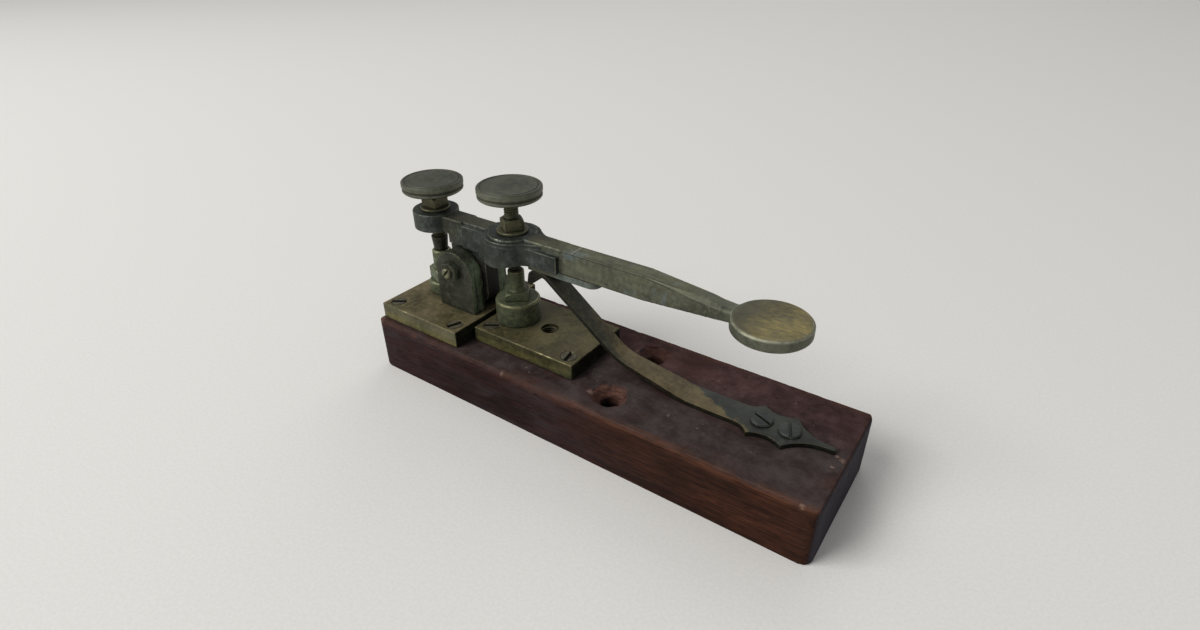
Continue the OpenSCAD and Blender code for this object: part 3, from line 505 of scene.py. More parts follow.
def cheek_zones(graph):
    """Scuffed blue-grey patina on the cheeks and bosses, olive rear body, painted shade on the lug between
    the blocks, and green wear plate.
    """
    along = graph.axis(graph.place, "X")
    across = graph.math("ABSOLUTE", graph.axis(graph.place, "Y"))
    height = graph.axis(graph.place, "Z")
    behind_cheek_end = graph.fall(along, CHEEK_FRONT_X, CHEEK_FRONT_X + 0.3 * MM)
    off_bar = graph.ramp(across, BAR_HALF_WIDTH, BAR_HALF_WIDTH + 0.4 * MM)
    on_boss = graph.fall(along, BOSS_FRONT_X - 2 * MM, BOSS_FRONT_X + 2 * MM)
    cheek = graph.times(behind_cheek_end, graph.math("MAXIMUM", off_bar, on_boss))
    scuffs = graph.ramp(graph.noise(170, detail=9, roughness=0.75), 0.48, 0.66)
    rear_body = graph.times(
        graph.ramp(along, EYE_FRONT_X, EYE_FRONT_X + 3 * MM),
        graph.fall(along, CHEEK_REAR_X - 3 * MM, CHEEK_REAR_X + 3 * MM),
    )
    rear_top = graph.times(
        facing_up(graph),
        graph.inverse(off_bar),
        graph.ramp(along, EYE_FRONT_X + 1 * MM, EYE_FRONT_X + 4 * MM),
        graph.fall(along, BOSS_REAR_X - 2 * MM, BOSS_REAR_X),
    )
    # Painted shade: the lug between the bearing blocks is painted nearly black
    lug_shade = graph.fall(height, LUG_TOP - 2 * MM, LUG_TOP)
    wear_plate = graph.times(
        graph.fall(height, BAR_BOTTOM - 0.2 * MM, BAR_BOTTOM - 0.1 * MM),
        graph.ramp(along, CHEEK_FRONT_X - 5 * MM, CHEEK_FRONT_X),
    )
    return [
        (graph.times(cheek, 0.92), "#222724", "#3a3e3a"),
        (graph.times(cheek, rear_body, 0.7), "#323228", "#4c4b3a"),
        (graph.times(cheek, scuffs, 0.75), "#474d4a", "#656c68"),
        (graph.times(rear_top, 0.8), "#38372b", "#4f4d3d"),
        (graph.times(lug_shade, 0.85), "#1b1916", "#2c2823"),
        (graph.times(wear_plate, 0.8), "#505a53", "#747d76"),
    ]


def disc_zones(graph):
    """A finger disc with tan brass rubbed bare on the front of its top, and a bright rubbed edge with a
    painted highlight.
    """
    along = graph.axis(graph.place, "X")
    on_disc = graph.ramp(along, DISC_REAR_X, DISC_REAR_X + 4 * MM)
    disc_top = graph.times(on_disc, facing_up(graph))
    worn_side = graph.ramp(along, DISC_REAR_X + 3 * MM, DISC_REAR_X + 19 * MM)
    blotches = graph.ramp(graph.noise(130, detail=7, roughness=0.65), 0.34, 0.6, 0.4, 1.0)
    streaks = graph.noise(1, detail=8, roughness=0.7, stretch=(190, 900, 900), distortion=0.3)
    tan = graph.times(disc_top, worn_side, blotches, graph.ramp(streaks, 0.2, 0.75))
    # The disc's top rim is painted bright: rubbed brass, with a painted highlight
    from_disc = graph.distance(graph.place, (DISC_X, 0, DISC_TOP))
    worn_rim_highlight = graph.times(
        graph.ramp(along, DISC_REAR_X + 1 * MM, DISC_REAR_X + 2 * MM),
        graph.ramp(from_disc, DISC_RADIUS - 0.7 * MM, DISC_RADIUS - 0.4 * MM),
        graph.ramp(graph.axis(graph.place, "Z"), DISC_TOP - 0.9 * MM, DISC_TOP - 0.6 * MM),
        graph.ramp(graph.noise(130, detail=7, roughness=0.7), 0.36, 0.52),
    )
    return [
        (graph.times(on_disc, 0.8), "#4f5146", "#6b6d5c"),
        (graph.times(disc_top, 0.95), "#3e3d2f", "#56523f"),
        (graph.times(tan, 0.95), "#776a40", "#a09058"),
        (graph.times(worn_rim_highlight, 0.85), "#777765", "#a2a08b"),
    ]


def lever_zones(graph):
    """The finish of the lever's bar, its cheeks and its finger disc."""
    return bar_zones(graph) + cheek_zones(graph) + disc_zones(graph)


# The slate film on the spring's foot: where it starts, how ragged its edge is, and how far that edge runs
# along the spring for each length across it
FILM_START_X = 50 * MM
FILM_RAGGED = 22 * MM
FILM_SLANT = 2.2
# The stretch over which the strip turns tan
TAN_START_X = -4 * MM
TAN_FULL_X = 16 * MM


def spring_zones(graph):
    """Tan brass where the strip was rubbed, a slate-green film over the foot, and painted shade on its sides.
    """
    ragged = graph.times(graph.math("SUBTRACT", graph.noise(260, detail=6), 0.5), FILM_RAGGED)
    slant = graph.times(graph.axis(graph.place, "Y"), FILM_SLANT)
    along = graph.math("ADD", graph.math("ADD", graph.axis(graph.place, "X"), slant), ragged)
    foot = graph.ramp(along, FILM_START_X, FILM_START_X + 2 * MM)
    tan = graph.times(graph.ramp(along, TAN_START_X, TAN_FULL_X), graph.inverse(foot))
    # Painted shade: the strip's sides are painted near black
    side = facing(graph, "Y", 0.4, 0.8)
    return [
        (graph.times(tan, 0.9), "#493f2d", "#6d6146"),
        (graph.times(foot, 0.92), "#272824", "#40423d"),
        (graph.times(side, 0.85), "#14130f", "#23211a"),
    ]


GRAIN_SLANT = (0, 0.035, 0.02)
PALE_CHIPS = (
    # place on the base and reach, in millimetres
    (-99.0, -27.8, 22.8, 6.0),
    (-27.0, -28.2, 23.6, 2.6),
    (94.0, -27.8, 23.6, 2.2),
    (95.8, -0.8, 24.0, 1.5),
    (97.8, -2.0, 24.0, 2.4),
    (96.0, -6.5, 24.0, 1.5),
    (8.6, -18.0, 23.6, 3.0),
    (9.0, 14.5, 23.6, 2.6),
)


def pale_chips(graph, place):
    """Up to 1 in the small pale chips of the base's surface."""
    ragged = graph.noise(1, detail=8, roughness=0.75, stretch=(450, 900, 900), distortion=1.0)
    chips = 0.0
    for *middle, reach in PALE_CHIPS:
        away = graph.distance(place, [c * MM for c in middle])
        rough = graph.math("ADD", away, graph.times(ragged, 2.6 * reach * MM))
        chips = graph.math("MAXIMUM", chips, graph.fall(rough, 1.3 * reach * MM, 1.8 * reach * MM))
    return chips


# How far from the base's long top edges their rubbing starts to fade, and where it ends
RUBBED_BAND = (1.2 * MM, 4 * MM)
# The near side's red turns brown between these places
BROWN_START_X = -30 * MM
BROWN_FULL_X = 70 * MM


def rubbed_corner(graph, place):
    """Up to 1 along the base's long top edges, where hands rubbed them, most towards the front."""
    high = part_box("base")[1]
    across = graph.math("SUBTRACT", high.y, graph.math("ABSOLUTE", graph.axis(place, "Y")))
    down = graph.math("SUBTRACT", high.z, graph.axis(place, "Z"))
    band = graph.fall(graph.math("ADD", across, down), *RUBBED_BAND)
    worn = graph.noise(1, detail=8, roughness=0.7, stretch=(45, 260, 260), distortion=0.4)
    front = graph.ramp(graph.axis(place, "X"), -60 * MM, 60 * MM, 0.3, 1.0)
    return graph.times(band, graph.ramp(worn, 0.4, 0.58), front)


def wood_side(graph, colour, fibres, patches, front):
    """Darkens the near side with painted shade, adds red streaks and grey dust to it, and dark patches all
    over.
    """
    near = graph.fall(graph.axis(graph.normal, "Y"), -0.9, -0.5)
    # Painted shade: the near side is darkened as the side that gets less light
    colour = graph.mix(graph.times(near, 0.4), colour, "#1a1211")
    streaks = graph.ramp(fibres, 0.36, 0.66, 0.3, 1.0)
    bright = graph.ramp(patches, 0.36, 0.58, 0.4, 1.0)
    red = graph.mix(front, "#422a28", "#573526")
    colour = graph.mix(graph.times(near, bright, streaks, 0.68), colour, red)
    colour = graph.mix(graph.times(graph.fall(patches, 0.34, 0.46), 0.25), colour, "#1c1a1a")
    dust = graph.noise(1, detail=9, roughness=0.72, stretch=(26, 120, 120), distortion=0.6)
    dusty = graph.times(near, graph.inverse(front), graph.ramp(dust, 0.4, 0.66))
    return graph.mix(graph.times(dusty, 0.62), colour, "#3a3335")


def wood_top(graph, place, colour, patches, film):
    """Adds grey grime with a painted sheen and pale specks to the top, redder on its far half."""
    top = facing_up(graph)
    far = graph.ramp(graph.axis(place, "Y"), -4 * MM, 16 * MM)
    smudge = graph.ramp(graph.noise(140, detail=9, roughness=0.75), 0.35, 0.65)
    # Grey grime on the top, which is partly a painted sheen
    grime_and_sheen = graph.mix(smudge, graph.mix(far, "#352e2d", "#3d2d2c"), graph.mix(far, "#4b4341", "#5a4341"))
    colour = graph.mix(graph.times(top, graph.ramp(patches, 0.45, 0.6), 0.5), colour, "#4f342f")
    colour = graph.mix(graph.times(top, graph.ramp(film, 0.3, 0.56), 0.8), colour, grime_and_sheen)
    specks = graph.ramp(graph.noise(480, detail=1), 0.74, 0.78)
    return graph.mix(graph.times(top, specks, 0.4), colour, "#7d6c64")


def wood_marks(graph, colour, fibres):
    """Adds stains, scratches, slate end grain with painted shade and sheen, and dirt and painted shade where
    the other pieces stand.
    """
    stain = graph.ramp(graph.noise(26, detail=7, roughness=0.6), 0.54, 0.7)
    colour = graph.mix(graph.times(stain, 0.35), colour, "#1e1918")
    scratch = graph.ramp(graph.noise(1, detail=4, stretch=(70, 1700, 1700), distortion=0.8), 0.69, 0.74)
    colour = graph.mix(graph.times(scratch, 0.35), colour, "#6e5b50")
    # The end faces are painted dark slate grey: end grain, with painted shade and a painted sheen
    shaded_end_grain = graph.mix(graph.ramp(fibres, 0.3, 0.7), "#2f2c31", "#433f46")
    colour = graph.mix(graph.times(facing(graph, "X", 0.6, 0.9), 0.9), colour, shaded_end_grain)
    # Dirt and painted shade under and beside the other pieces, where occlusion finds them
    dirt_and_shade = graph.ramp(graph.crevice(9 * MM), 0.3, 0.95)
    return graph.mix(graph.times(dirt_and_shade, 0.75), colour, "#120d0c")


def wood_wear(graph, place, colour, fibres, front):
    """Adds bare wood in the torn holes, rubbed edges and pale chips."""
    torn = graph.ramp(graph.noise(200, detail=7, roughness=0.7), 0.3, 0.5)
    bare_wood = graph.mix(graph.ramp(fibres, 0.35, 0.7), "#452d25", "#775245")
    colour = graph.mix(graph.times(graph.attribute("bare"), torn), colour, bare_wood)
    uneven = graph.ramp(graph.noise(90, detail=8, roughness=0.7), 0.36, 0.58)
    rubbed = graph.times(graph.attribute("edge"), uneven)
    colour = graph.mix(graph.times(rubbed, 0.6), colour, graph.mix(front, "#634b3f", "#764d36"))
    colour = graph.mix(graph.times(rubbed_corner(graph, place), 0.5), colour, "#63402f")
    return graph.mix(graph.times(pale_chips(graph, place), 0.55), colour, "#8a7063")


def mahogany():
    """Dark red wood with long grain and pores, grey grime and a painted sheen on its top, and bare wood where
    it is chipped.
    """
    graph = Graph("mahogany")
    place = graph.place
    graph.place = graph.turned(GRAIN_SLANT)
    bands = graph.noise(1, detail=6, roughness=0.6, stretch=(12, 190, 190), distortion=0.7)
    fibres = graph.noise(1, detail=7, roughness=0.7, stretch=(70, 1300, 1300), distortion=0.25)
    pores = graph.ramp(graph.noise(1, detail=2, stretch=(170, 2600, 2600)), 0.62, 0.7)
    patches = graph.noise(1, detail=8, roughness=0.62, stretch=(18, 60, 60), distortion=0.5)
    film = graph.noise(38, detail=10, roughness=0.7, distortion=0.5)
    front = graph.ramp(graph.axis(graph.place, "X"), BROWN_START_X, BROWN_FULL_X)
    colour = graph.mix(graph.ramp(bands, 0.34, 0.68), "#1a1413", "#281c18")
    colour = graph.mix(graph.times(graph.ramp(fibres, 0.42, 0.72), 0.55), colour, "#3a2822")
    colour = wood_side(graph, colour, fibres, patches, front)
    colour = graph.mix(graph.times(pores, 0.7), colour, "#110b0a")
    colour = wood_top(graph, place, colour, patches, film)
    colour = wood_marks(graph, colour, fibres)
    graph.set("Base Color", wood_wear(graph, place, colour, fibres, front))
    graph.set("Specular IOR Level", WOOD_SPECULAR)
    graph.set("Roughness", graph.ramp(film, 0.3, 0.7, 0.55, 0.8))
    graph.bump(graph.math("SUBTRACT", graph.times(fibres, 0.7), graph.times(pores, 0.8)), 0.25 * MM, 0.6)
    return graph.material


FINISHES = {
    "mahogany": mahogany(),
    "plate_brass": aged_metal(
        "plate_brass", "#34301d", "#585236", "#716948", "#414434", "#a49a74", zones=plate_zones, rub=plate_rub
    ),
    "bearing_bronze": aged_metal(
        "bearing_bronze", "#21211c", "#393a31", "#515244", "#343f2b", "#706f5b", zones=block_zones
    ),
    "lever_brass": aged_metal(
        "lever_brass", "#3e3f36", "#5a5b4c", "#727560", "#4f574f", "#989884",
        patina_share=0.36, wear=0.42, zones=lever_zones, rub=lever_rub,
    ),
    "knob_brass": aged_metal(
        "knob_brass", "#373830", "#4c4d43", "#62624f", "#46493e", "#7f7d67", zones=knob_zones
    ),
    "anvil_brass": aged_metal(
        "anvil_brass", "#363b2e", "#515642", "#727151", "#44513e", "#8b8765", zones=anvil_zones
    ),
    "screw_steel": aged_metal(
        "screw_steel", "#37342a", "#555141", "#746e5b", "#46483d", "#9c9780", zones=screw_zones, rub=screw_rub
    ),
    # The contact metal is painted dark, standing in for the shade on the rear contact tip
    "contact_metal": aged_metal("contact_metal", "#23241d", "#3d3e36", "#5a594a", "#383e33", "#7d7b68"),
    "spring_brass": aged_metal(
        "spring_brass", "#2a2a24", "#3e3d34", "#535140", "#343b36", "#756e52",
        patina_share=0.34, zones=spring_zones,
    ),
}


# Meshes


def body_of(node):
    return frame["nodes"][node]["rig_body"]


SMOOTH_ANGLE = math.radians(38)


def add_piece(bm, node, slot):
    """Turns a mesh into the piece that stands for a node."""
    mesh = bpy.data.meshes.new(node + "_finish")
    bm.to_mesh(mesh)
    bm.free()
    mesh.materials.append(FINISHES[slot])
    mesh.shade_smooth()
    mesh.set_sharp_from_angle(angle=SMOOTH_ANGLE)
    piece = bpy.data.objects.new(node + "_finish", mesh)
    bpy.context.scene.collection.objects.link(piece)
    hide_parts(node)
    return piece


def seat_piece(bm, node, slot):
    """Adds a piece that rides on its node's body, with its flat faces shaded flat."""
    piece = add_piece(bm, node, slot)
    flats = piece.modifiers.new("flat faces stay flat", "WEIGHTED_NORMAL")
    flats.keep_sharp = True
    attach(piece, body_of(node))


# Meshes with a soft edge all round


WELD_REACH = 0.002 * MM
FLAT_ANGLE = math.radians(0.5)
ROUND_SEGMENTS = 3


def flat_faced_copy(node):
    """A node's mesh with its seams closed and its flat faces whole again."""
    bm = bmesh.new()
    bm.from_mesh(frame["nodes"][node].data)
    bmesh.ops.remove_doubles(bm, verts=bm.verts, dist=WELD_REACH)
    bmesh.ops.dissolve_limit(bm, angle_limit=FLAT_ANGLE, verts=bm.verts, edges=bm.edges)
    return bm


def round_edges(bm, edges, width, wear=1.0):
    """Rounds some edges, and marks how bright the new faces wear."""
    layer = bm.faces.layers.float["edge"]
    made = bmesh.ops.bevel(
        bm,
        geom=edges,
        offset=width,
        offset_type="OFFSET",
        segments=ROUND_SEGMENTS,
        profile=0.5,
        affect="EDGES",
        clamp_overlap=True,
    )
    for face in made["faces"]:
        face[layer] = wear


SHARP = math.radians(28)
# Edges shorter than this lie round a small hole, on a piece that has both
RIM_EDGE = 1 * MM
RIM_WIDTH = 0.25 * MM


def sharp_edges(bm):
    """The edges that stand out sharply."""
    return [e for e in bm.edges if e.is_manifold and e.is_convex and e.calc_face_angle() > SHARP]


def soft_mesh(node, width, rims_apart=False):
    """A node's mesh with rounded outer edges. With rims apart, small holes get a narrower rounding."""
    bm = flat_faced_copy(node)
    layer = bm.faces.layers.float.new("edge")
    outer = sharp_edges(bm)
    if not rims_apart:
        round_edges(bm, outer, width * MM)
        return bm
    round_edges(bm, [e for e in outer if e.calc_length() >= RIM_EDGE], width * MM)
    rims = [
        e
        for e in sharp_edges(bm)
        if e.calc_length() < RIM_EDGE and not any(f[layer] for f in e.link_faces)
    ]
    round_edges(bm, rims, RIM_WIDTH, wear=0.0)
    return bm


HEAD_CHAMFER = 0.35 * MM
HEAD_DROP = 0.2 * MM


def sunk_screws(node):
    """Screws with flat heads in a plate. The chamfer round each head is painted dark as shade."""
    bm = flat_faced_copy(node)
    layer = bm.faces.layers.float.new("edge")
    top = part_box(node)[1].z
    heads = [f for f in bm.faces if f.normal.z > 0.99 and f.calc_center_median().z > top - HEAD_DROP]
    rims = {v for f in heads for v in f.verts}
    made = bmesh.ops.inset_individual(bm, faces=heads, thickness=HEAD_CHAMFER, use_even_offset=True)
    for vert in rims:
        vert.co.z -= HEAD_DROP
    for face in made["faces"]:
        face[layer] = 1.0
    seat_piece(bm, node, "screw_steel")


SOFT_EDGES = {
    # node: (finish, edge radius in millimetres)
    "bearing_block_screws": ("screw_steel", 0.18),
    "near_pivot_screw": ("screw_steel", 0.2),
    "far_pivot_screw": ("screw_steel", 0.2),
    "near_pivot_nut": ("bearing_bronze", 0.35),
    "far_pivot_nut": ("bearing_bronze", 0.35),
    "wear_plate": ("lever_brass", 0.4),
    "wear_plate_screw": ("screw_steel", 0.15),
    "rear_contact_tip": ("contact_metal", 0.3),
    "rear_lock_nut": ("knob_brass", 0.3),
    "rear_lock_washer": ("knob_brass", 0.3),
    "front_contact_tip": ("contact_metal", 0.3),
    "front_lock_nut": ("knob_brass", 0.3),
    "front_lock_washer": ("knob_brass", 0.3),
    "rear_anvil_collar": ("anvil_brass", 0.3),
    "rear_anvil_nut": ("anvil_brass", 0.3),
    "rear_anvil_stud": ("anvil_brass", 0.25),
    "rear_anvil_button": ("contact_metal", 0.1),
    "front_anvil_drum": ("anvil_brass", 0.3),
    "front_anvil_nut": ("anvil_brass", 0.3),
    "front_anvil_stud": ("anvil_brass", 0.25),
    "front_anvil_button": ("contact_metal", 0.1),
    "spring_screws": ("screw_steel", 0.2),
}
PLATE_EDGE = 0.5
SPRING_EDGE = 0.35


# Meshes worn all over: castings and wood


def changed_mesh(mesh, kind, **settings):
    """A mesh after one modifier."""
    rough = bpy.data.objects.new("rough", mesh)
    bpy.context.scene.collection.objects.link(rough)
    modifier = rough.modifiers.new(kind, kind)
    for key, value in settings.items():
        setattr(modifier, key, value)
    shown = rough.evaluated_get(bpy.context.evaluated_depsgraph_get())
    bm = bmesh.new()
    bm.from_mesh(shown.to_mesh())
    bpy.data.objects.remove(rough)
    return bm


def smooth(bm, verts, passes):
    for _ in range(passes):
        bmesh.ops.smooth_vert(bm, verts=verts, factor=0.5, use_axis_x=True, use_axis_y=True, use_axis_z=True)


SMOOTH_PASSES = 2


def even_mesh(node, voxel):
    """A node's surface as a fine even mesh, with its edges rubbed round."""
    bm = changed_mesh(frame["nodes"][node].data.copy(), "REMESH", mode="VOXEL", voxel_size=voxel)
    smooth(bm, bm.verts, SMOOTH_PASSES)
    bm.normal_update()
    return bm


# A bend that comes to less than this, times its gain, stays unmarked
BEND_FLOOR = 0.25


def mark_bends(bm, voxel, gain):
    """Marks how sharply the surface bends outwards, where the finish then wears bright."""
    layer = bm.verts.layers.float.new("edge")
    for vert in bm.verts:
        around = sum((e.other_vert(vert).co for e in vert.link_edges), Vector()) / len(vert.link_edges)
        bend = (vert.co - around).dot(vert.normal) / voxel
        vert[layer] = min(1, max(0, gain * bend - BEND_FLOOR))


def lighter(bm, share):
    """The same surface with a share of its faces."""
    mesh = bpy.data.meshes.new("dense")
    bm.to_mesh(mesh)
    bm.free()
    return changed_mesh(mesh, "DECIMATE", ratio=share)


# How fine the worn meshes are, the gain on their bends, and the share of their faces that is kept
LEVER_VOXEL = 0.22 * MM
BLOCK_VOXEL = 0.25 * MM
WOOD_VOXEL = 0.5 * MM
CASTING_GAIN = 12
WOOD_GAIN = 8
CASTING_FACES = 0.3
WOOD_FACES = 0.25


def worn_casting(node, slot, voxel, shape=None):
    """A piece whose edges are all rubbed round, as on an old casting."""
    bm = even_mesh(node, voxel)
    if shape:
        shape(bm)
    mark_bends(bm, voxel, CASTING_GAIN)
    piece = add_piece(lighter(bm, CASTING_FACES), node, slot)
    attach(piece, body_of(node))


def smooth_step(value, low, high):
    """0 below low, 1 above high, and a smooth rise between."""
    t = min(1, max(0, (value - low) / (high - low)))
    return t * t * (3 - 2 * t)


PLATEAU_RADIUS = 9.7 * MM
LEDGE_DROP = 0.8 * MM
LEDGE_SLOPE = 0.3 * MM
# The ledge drops in full down to the first depth under the lever's top, and not at all below the second
LEDGE_DEPTHS = (1.5 * MM, 4 * MM)
NECK_RUN = 8 * MM
NECK_HALF_WIDTH = 6 * MM
CORNER_PASSES = 6
FRONT_SCREW = (sum(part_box("front_knob"), Vector()) / 2).xy


def beyond_plateau(place):
    """How far a point lies outside the raised middle of the lever's top."""
    return min(abs(place.y) - BAR_HALF_WIDTH, (place.xy - FRONT_SCREW).length - PLATEAU_RADIUS)


def shape_lever(bm):
    """Steps the cheeks down beside the bar and the boss, and runs the bar smoothly into the finger disc."""
    full, none = LEDGE_DEPTHS
    for vert in bm.verts:
        x = vert.co.x
        z = vert.co.z
        if CHEEK_REAR_X < x < CHEEK_FRONT_X + 1 * MM:
            near_top = smooth_step(z, LEVER_TOP - none, LEVER_TOP - full)
            vert.co.z -= LEDGE_DROP * near_top * smooth_step(beyond_plateau(vert.co), 0, LEDGE_SLOPE)
        if x > DISC_REAR_X - NECK_RUN and z > DISC_TOP:
            vert.co.z -= (z - DISC_TOP) * smooth_step(x, DISC_REAR_X - NECK_RUN, DISC_REAR_X + 3 * MM)
    bm.normal_update()
    outer = [
        v
        for v in bm.verts
        if v.co.x < CHEEK_FRONT_X + 1 * MM
        and v.co.z > LEVER_TOP - 5 * MM
        and abs(v.normal.z) < 0.96
        and beyond_plateau(v.co) > 0.6 * MM
    ]
    smooth(bm, outer, CORNER_PASSES)
    neck = [
        v
        for v in bm.verts
        if DISC_REAR_X - 2 * MM < v.co.x < DISC_REAR_X + NECK_RUN and abs(v.co.y) < NECK_HALF_WIDTH
    ]
    smooth(bm, neck, CORNER_PASSES)
    bm.normal_update()


# The two mounting holes in the base
MOUNT = next(m for m in frame["record"]["mounts"] if m["name"] == "base_holes")
HOLES = [
    Vector((MOUNT["pos_m"][0], side * MOUNT["dims"]["spacing_y_mm"] / 2 * MM)) for side in (-1, 1)
]
SINK_RADIUS = 6.5 * MM
SINK_DEPTH = 7 * MM
CHIP_REACH = 2.2 * MM
CHIP_DEPTH = 0.7 * MM
# Above this depth, the wood in a sink is as bare as it gets
BARE_DEPTH = 4 * MM
NEAR_HOLE_BARE = 0.65
FAR_HOLE_BARE = 0.3
# Noise in the chips: how ragged the rim runs round a hole, and crumbs per metre
RIM_RAGGED = 1.7
CRUMB_SCALE = 650
FINE_CRUMB_SCALE = 1500


def chip_holes(vert, bare, top):
    """Breaks the rim of each hole, and bares the wood in its sink."""
    if vert.co.z < top - SINK_DEPTH:
        return
    for hole in HOLES:
        out = vert.co.xy - hole
        if out.length > SINK_RADIUS + CHIP_REACH:
            continue
        around = out.normalized() * RIM_RAGGED
        ragged = noise.noise(Vector((around.x, around.y, hole.y * 210)))
        rim = SINK_RADIUS + CHIP_REACH * (0.1 + 0.5 * ragged)
        broken = smooth_step(out.length, rim + 0.5 * MM, rim - 0.3 * MM)
        crumbs = noise.noise(vert.co * CRUMB_SCALE) + 0.5 * noise.noise(vert.co * FINE_CRUMB_SCALE)
        vert.co.z -= broken * CHIP_DEPTH * (0.8 + 0.3 * crumbs)
        share = NEAR_HOLE_BARE if hole.y < 0 else FAR_HOLE_BARE
        shown = smooth_step(vert.co.z, top - SINK_DEPTH, top - BARE_DEPTH)
        vert[bare] = max(vert[bare], share * broken * shown)


# Noise on the wood: features per metre, and their height
WAVE_SCALE = 60
WAVE_HEIGHT = 0.05 * MM
GRAIN_SCALE = Vector((60, 900, 900))
GRAIN_HEIGHT = 0.03 * MM
# The faces sink by this much, so that no wave stands out of the CAD box
FACE_DROP = 0.06 * MM
DENT_SCALE = 300
DENT_REACH = 2 * MM
DENT_DEPTH = 0.7 * MM


def wear_wood(vert, bare, low, high):
    """Moves one point of the base: waves on the faces, dents along the edges, chips round the holes."""
    place = vert.co.copy()
    wave = noise.noise(place * WAVE_SCALE) * WAVE_HEIGHT
    grain = noise.noise(place * GRAIN_SCALE) * GRAIN_HEIGHT
    vert.co += vert.normal * (wave + grain - FACE_DROP)
    to_faces = (place.x - low.x, high.x - place.x, place.y - low.y, high.y - place.y, high.z - place.z)
    edge = sum(sorted(to_faces)[:2])
    if edge < DENT_REACH:
        dent = max(0, noise.noise(place * DENT_SCALE) - 0.1) * (1 - edge / DENT_REACH)
        vert.co -= vert.normal * dent * DENT_DEPTH
        vert[bare] = min(1, dent)
    chip_holes(vert, bare, high.z)


def worn_base():
    """The base as old wood, with its edges rubbed, nicked and chipped."""
    bm = even_mesh("base", WOOD_VOXEL)
    mark_bends(bm, WOOD_VOXEL, WOOD_GAIN)
    bare = bm.verts.layers.float.new("bare")
    low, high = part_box("base")
    for vert in bm.verts:
        wear_wood(vert, bare, low, high)
    piece = add_piece(lighter(bm, WOOD_FACES), "base", "mahogany")
    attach(piece, "base")


# Turned pieces and threads


def on_circle(middle, radius, turn, z):
    """A point at some height on a circle round an upright axis."""
    return Vector((middle.x + radius * math.cos(turn), middle.y + radius * math.sin(turn), z))


def closed_tube(rows):
    """A closed mesh from rings of points, with one face over each end."""
    bm = bmesh.new()
    bm.faces.layers.float.new("edge")
    rings = [[bm.verts.new(p) for p in row] for row in rows]
    count = len(rings[0])
    for lower, upper in zip(rings, rings[1:]):
        for i in range(count):
            j = (i + 1) % count
            bm.faces.new((lower[i], lower[j], upper[j], upper[i]))
    bm.faces.new(reversed(rings[0]))
    bm.faces.new(rings[-1])
    return bm


PITCH = 1 * MM
THREAD_DEPTH = 0.42 * MM
# The groove's section: how steep its flanks are, and how much of them the flat crest cuts off
FLANK_SLOPE = 1.3
CREST_SHARE = 0.15
# Faces this close to the thread's crest wear bright
CREST_DEPTH = 0.08 * MM
THREAD_STEPS = 36
ROWS_PER_PITCH = 10


def threaded_rod(node, slot):
    """A screw's stem with a right-hand thread cut along it."""
    low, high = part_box(node)
    middle = (low + high) / 2
    radius = (high.x - low.x) / 2
    rows = math.ceil((high.z - low.z) / PITCH * ROWS_PER_PITCH)

    def point(row, step):
        z = low.z + (high.z - low.z) * row / rows
        turn = step / THREAD_STEPS
        phase = (z / PITCH - turn) % 1
        groove = min(1, max(0, FLANK_SLOPE * abs(2 * phase - 1) - CREST_SHARE))
        return on_circle(middle, radius - THREAD_DEPTH * groove, math.tau * turn, z)

    bm = closed_tube([[point(row, step) for step in range(THREAD_STEPS)] for row in range(rows + 1)])
    layer = bm.faces.layers.float["edge"]
    for face in bm.faces:
        centre = face.calc_center_median() - middle
        face[layer] = 1.0 if math.hypot(centre.x, centre.y) > radius - CREST_DEPTH else 0.0
    seat_piece(bm, node, slot)


RIDGE_SINK = 0.1 * MM
RIDGE_HALF_WIDTH = 0.4 * PITCH


def thread_ridge(bm, middle, radius, low, high):
    """Adds the ridge of a right-hand thread that stands out of a hole's wall into the hole."""
    turns = (high - low) / PITCH
    count = math.ceil(turns * THREAD_STEPS)
    corners = (
        # out from the hole's wall, up
        (RIDGE_SINK, -RIDGE_HALF_WIDTH),
        (RIDGE_SINK, RIDGE_HALF_WIDTH),
        (-THREAD_DEPTH, 0),
    )
    sections = []
    for step in range(count + 1):
        turn = math.tau * turns * step / count
        z = low + (high - low) * step / count
        sections.append([bm.verts.new(on_circle(middle, radius + out, turn, z + up)) for out, up in corners])
    for first, second in zip(sections, sections[1:]):
        for i in range(3):
            j = (i + 1) % 3
            bm.faces.new((first[i], first[j], second[j], second[i]))
    bm.faces.new(reversed(sections[0]))
    bm.faces.new(sections[-1])


def tapped_plate():
    """The front plate, with the thread in its spare hole."""
    bm = soft_mesh("front_plate", PLATE_EDGE, rims_apart=True)
    hole = next(m for m in frame["record"]["mounts"] if m["name"] == "spare_tapped_hole")
    low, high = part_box("front_plate")
    thread_ridge(bm, Vector(hole["pos_m"]), hole["dims"]["r_mm"] * MM, low.z + PITCH / 2, high.z - PITCH)
    seat_piece(bm, "front_plate", "plate_brass")


ARC_STEPS = 5
# An arc takes up to this share of the sides it joins, so that two arcs never meet
ARC_SHARE = 0.48


def rounded_corner(before, corner, after, radius):
    """Points of an arc that rounds a corner of a profile."""
    u = (before - corner).normalized()
    v = (after - corner).normalized()
    half = u.angle(v) / 2
    shorter = min((before - corner).length, (after - corner).length)
    run = min(radius / math.tan(half), ARC_SHARE * shorter)
    middle = corner + (u + v).normalized() * run / math.cos(half)
    start = corner + u * run - middle
    end = corner + v * run - middle
    size = start.length
    return [middle + start.lerp(end, i / ARC_STEPS).normalized() * size for i in range(ARC_STEPS + 1)]


KNOB_STEPS = 96
KNOB_BORE = 2.95 * MM
NARROW_BAND_INSET = 0.15 * MM
GROOVE_DEPTH = 0.55 * MM
TOP_DROP = 0.02 * MM
# Slanted faces this close to a knob's side wear bright
KNOB_EDGE = 0.62 * MM


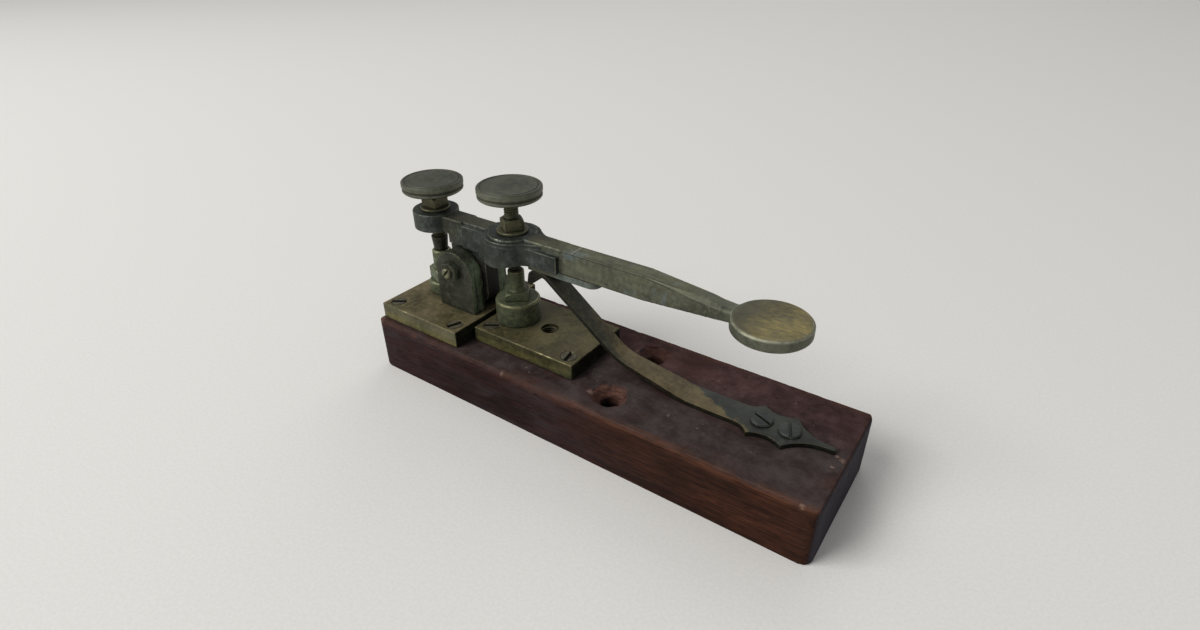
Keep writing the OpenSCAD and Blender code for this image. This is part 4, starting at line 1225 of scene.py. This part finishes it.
def knob(node):
    """A turned knob: a wide band, a groove and a narrow band round its side, and a ring cut in its top."""
    low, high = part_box(node)
    middle = (low + high) / 2
    r = (high.x - low.x) / 2
    h = high.z - low.z
    narrow = r - NARROW_BAND_INSET
    groove = r - GROOVE_DEPTH
    top = h - TOP_DROP
    corners = [
        # distance from the axis, height, radius of the corner
        (KNOB_BORE, h - 1.2 * MM, 0),
        (KNOB_BORE, 0, 0),
        (r - 0.9 * MM, 0, 0.4 * MM),
        (narrow, 0.55 * MM, 0.5 * MM),
        (narrow, 1.4 * MM, 0.4 * MM),
        (groove, GROOVE_LOW, 0.2 * MM),
        (groove, GROOVE_HIGH, 0.2 * MM),
        (r, 2.45 * MM, 0.4 * MM),
        (r, h - 0.5 * MM, 0.5 * MM),
        (r - 0.6 * MM, h, 0.5 * MM),
        (r - 1.2 * MM, top, 0),
        (r - 1.6 * MM, h - 0.45 * MM, 0.15 * MM),
        (r - 2 * MM, top, 0),
        (4 * MM, top, 0),
    ]
    points = [Vector(c[:2]) for c in corners]
    profile = [points[0]]
    for i in range(1, len(points) - 1):
        radius = corners[i][2]
        profile += rounded_corner(*points[i - 1 : i + 2], radius) if radius else [points[i]]
    profile.append(points[-1])
    turns = [math.tau * step / KNOB_STEPS for step in range(KNOB_STEPS)]
    bm = closed_tube([[on_circle(middle, p.x, turn, low.z + p.y) for turn in turns] for p in profile])
    layer = bm.faces.layers.float["edge"]
    for face in bm.faces:
        out = face.calc_center_median().xy - middle.xy
        slanted = 0.15 < abs(face.normal.z) < 0.98
        face[layer] = 1.0 if slanted and out.length > r - KNOB_EDGE else 0.0
    seat_piece(bm, node, "knob_brass")


# The leaf spring bends between the base and the lever, from where it leaves the base to its pad
SPRING_START = (41 * MM, 0, 25 * MM)
SPRING_END = (-23 * MM, 0, 56.7 * MM)
SPRING_STEP = 2 * MM


def bending_spring():
    """The leaf spring, cut into short lengths so that it bends smoothly with the lever."""
    bm = soft_mesh("leaf_spring", SPRING_EDGE)
    low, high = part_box("leaf_spring")
    for i in range(1, int((high.x - low.x) / SPRING_STEP)):
        place = Vector((low.x + i * SPRING_STEP, 0, 0))
        everything = bm.verts[:] + bm.edges[:] + bm.faces[:]
        bmesh.ops.bisect_plane(bm, geom=everything, plane_co=place, plane_no=(1, 0, 0), dist=0.01 * MM)
    piece = add_piece(bm, "leaf_spring", "spring_brass")
    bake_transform(piece, "base", "lever", start=SPRING_START, end=SPRING_END)


make_camera()
make_stage()
for part, (finish, radius) in SOFT_EDGES.items():
    seat_piece(soft_mesh(part, radius), part, finish)
for part in ("rear_plate_screws", "front_plate_screws"):
    sunk_screws(part)
seat_piece(soft_mesh("rear_plate", PLATE_EDGE, rims_apart=True), "rear_plate", "plate_brass")
tapped_plate()
for end in ("rear", "front"):
    threaded_rod(end + "_adjusting_screw", "knob_brass")
    knob(end + "_knob")
worn_casting("lever", "lever_brass", LEVER_VOXEL, shape_lever)
for part in ("near_bearing_block", "far_bearing_block"):
    worn_casting(part, "bearing_bronze", BLOCK_VOXEL)
worn_base()
bending_spring()

bpy.context.scene.view_settings.view_transform = "Standard"
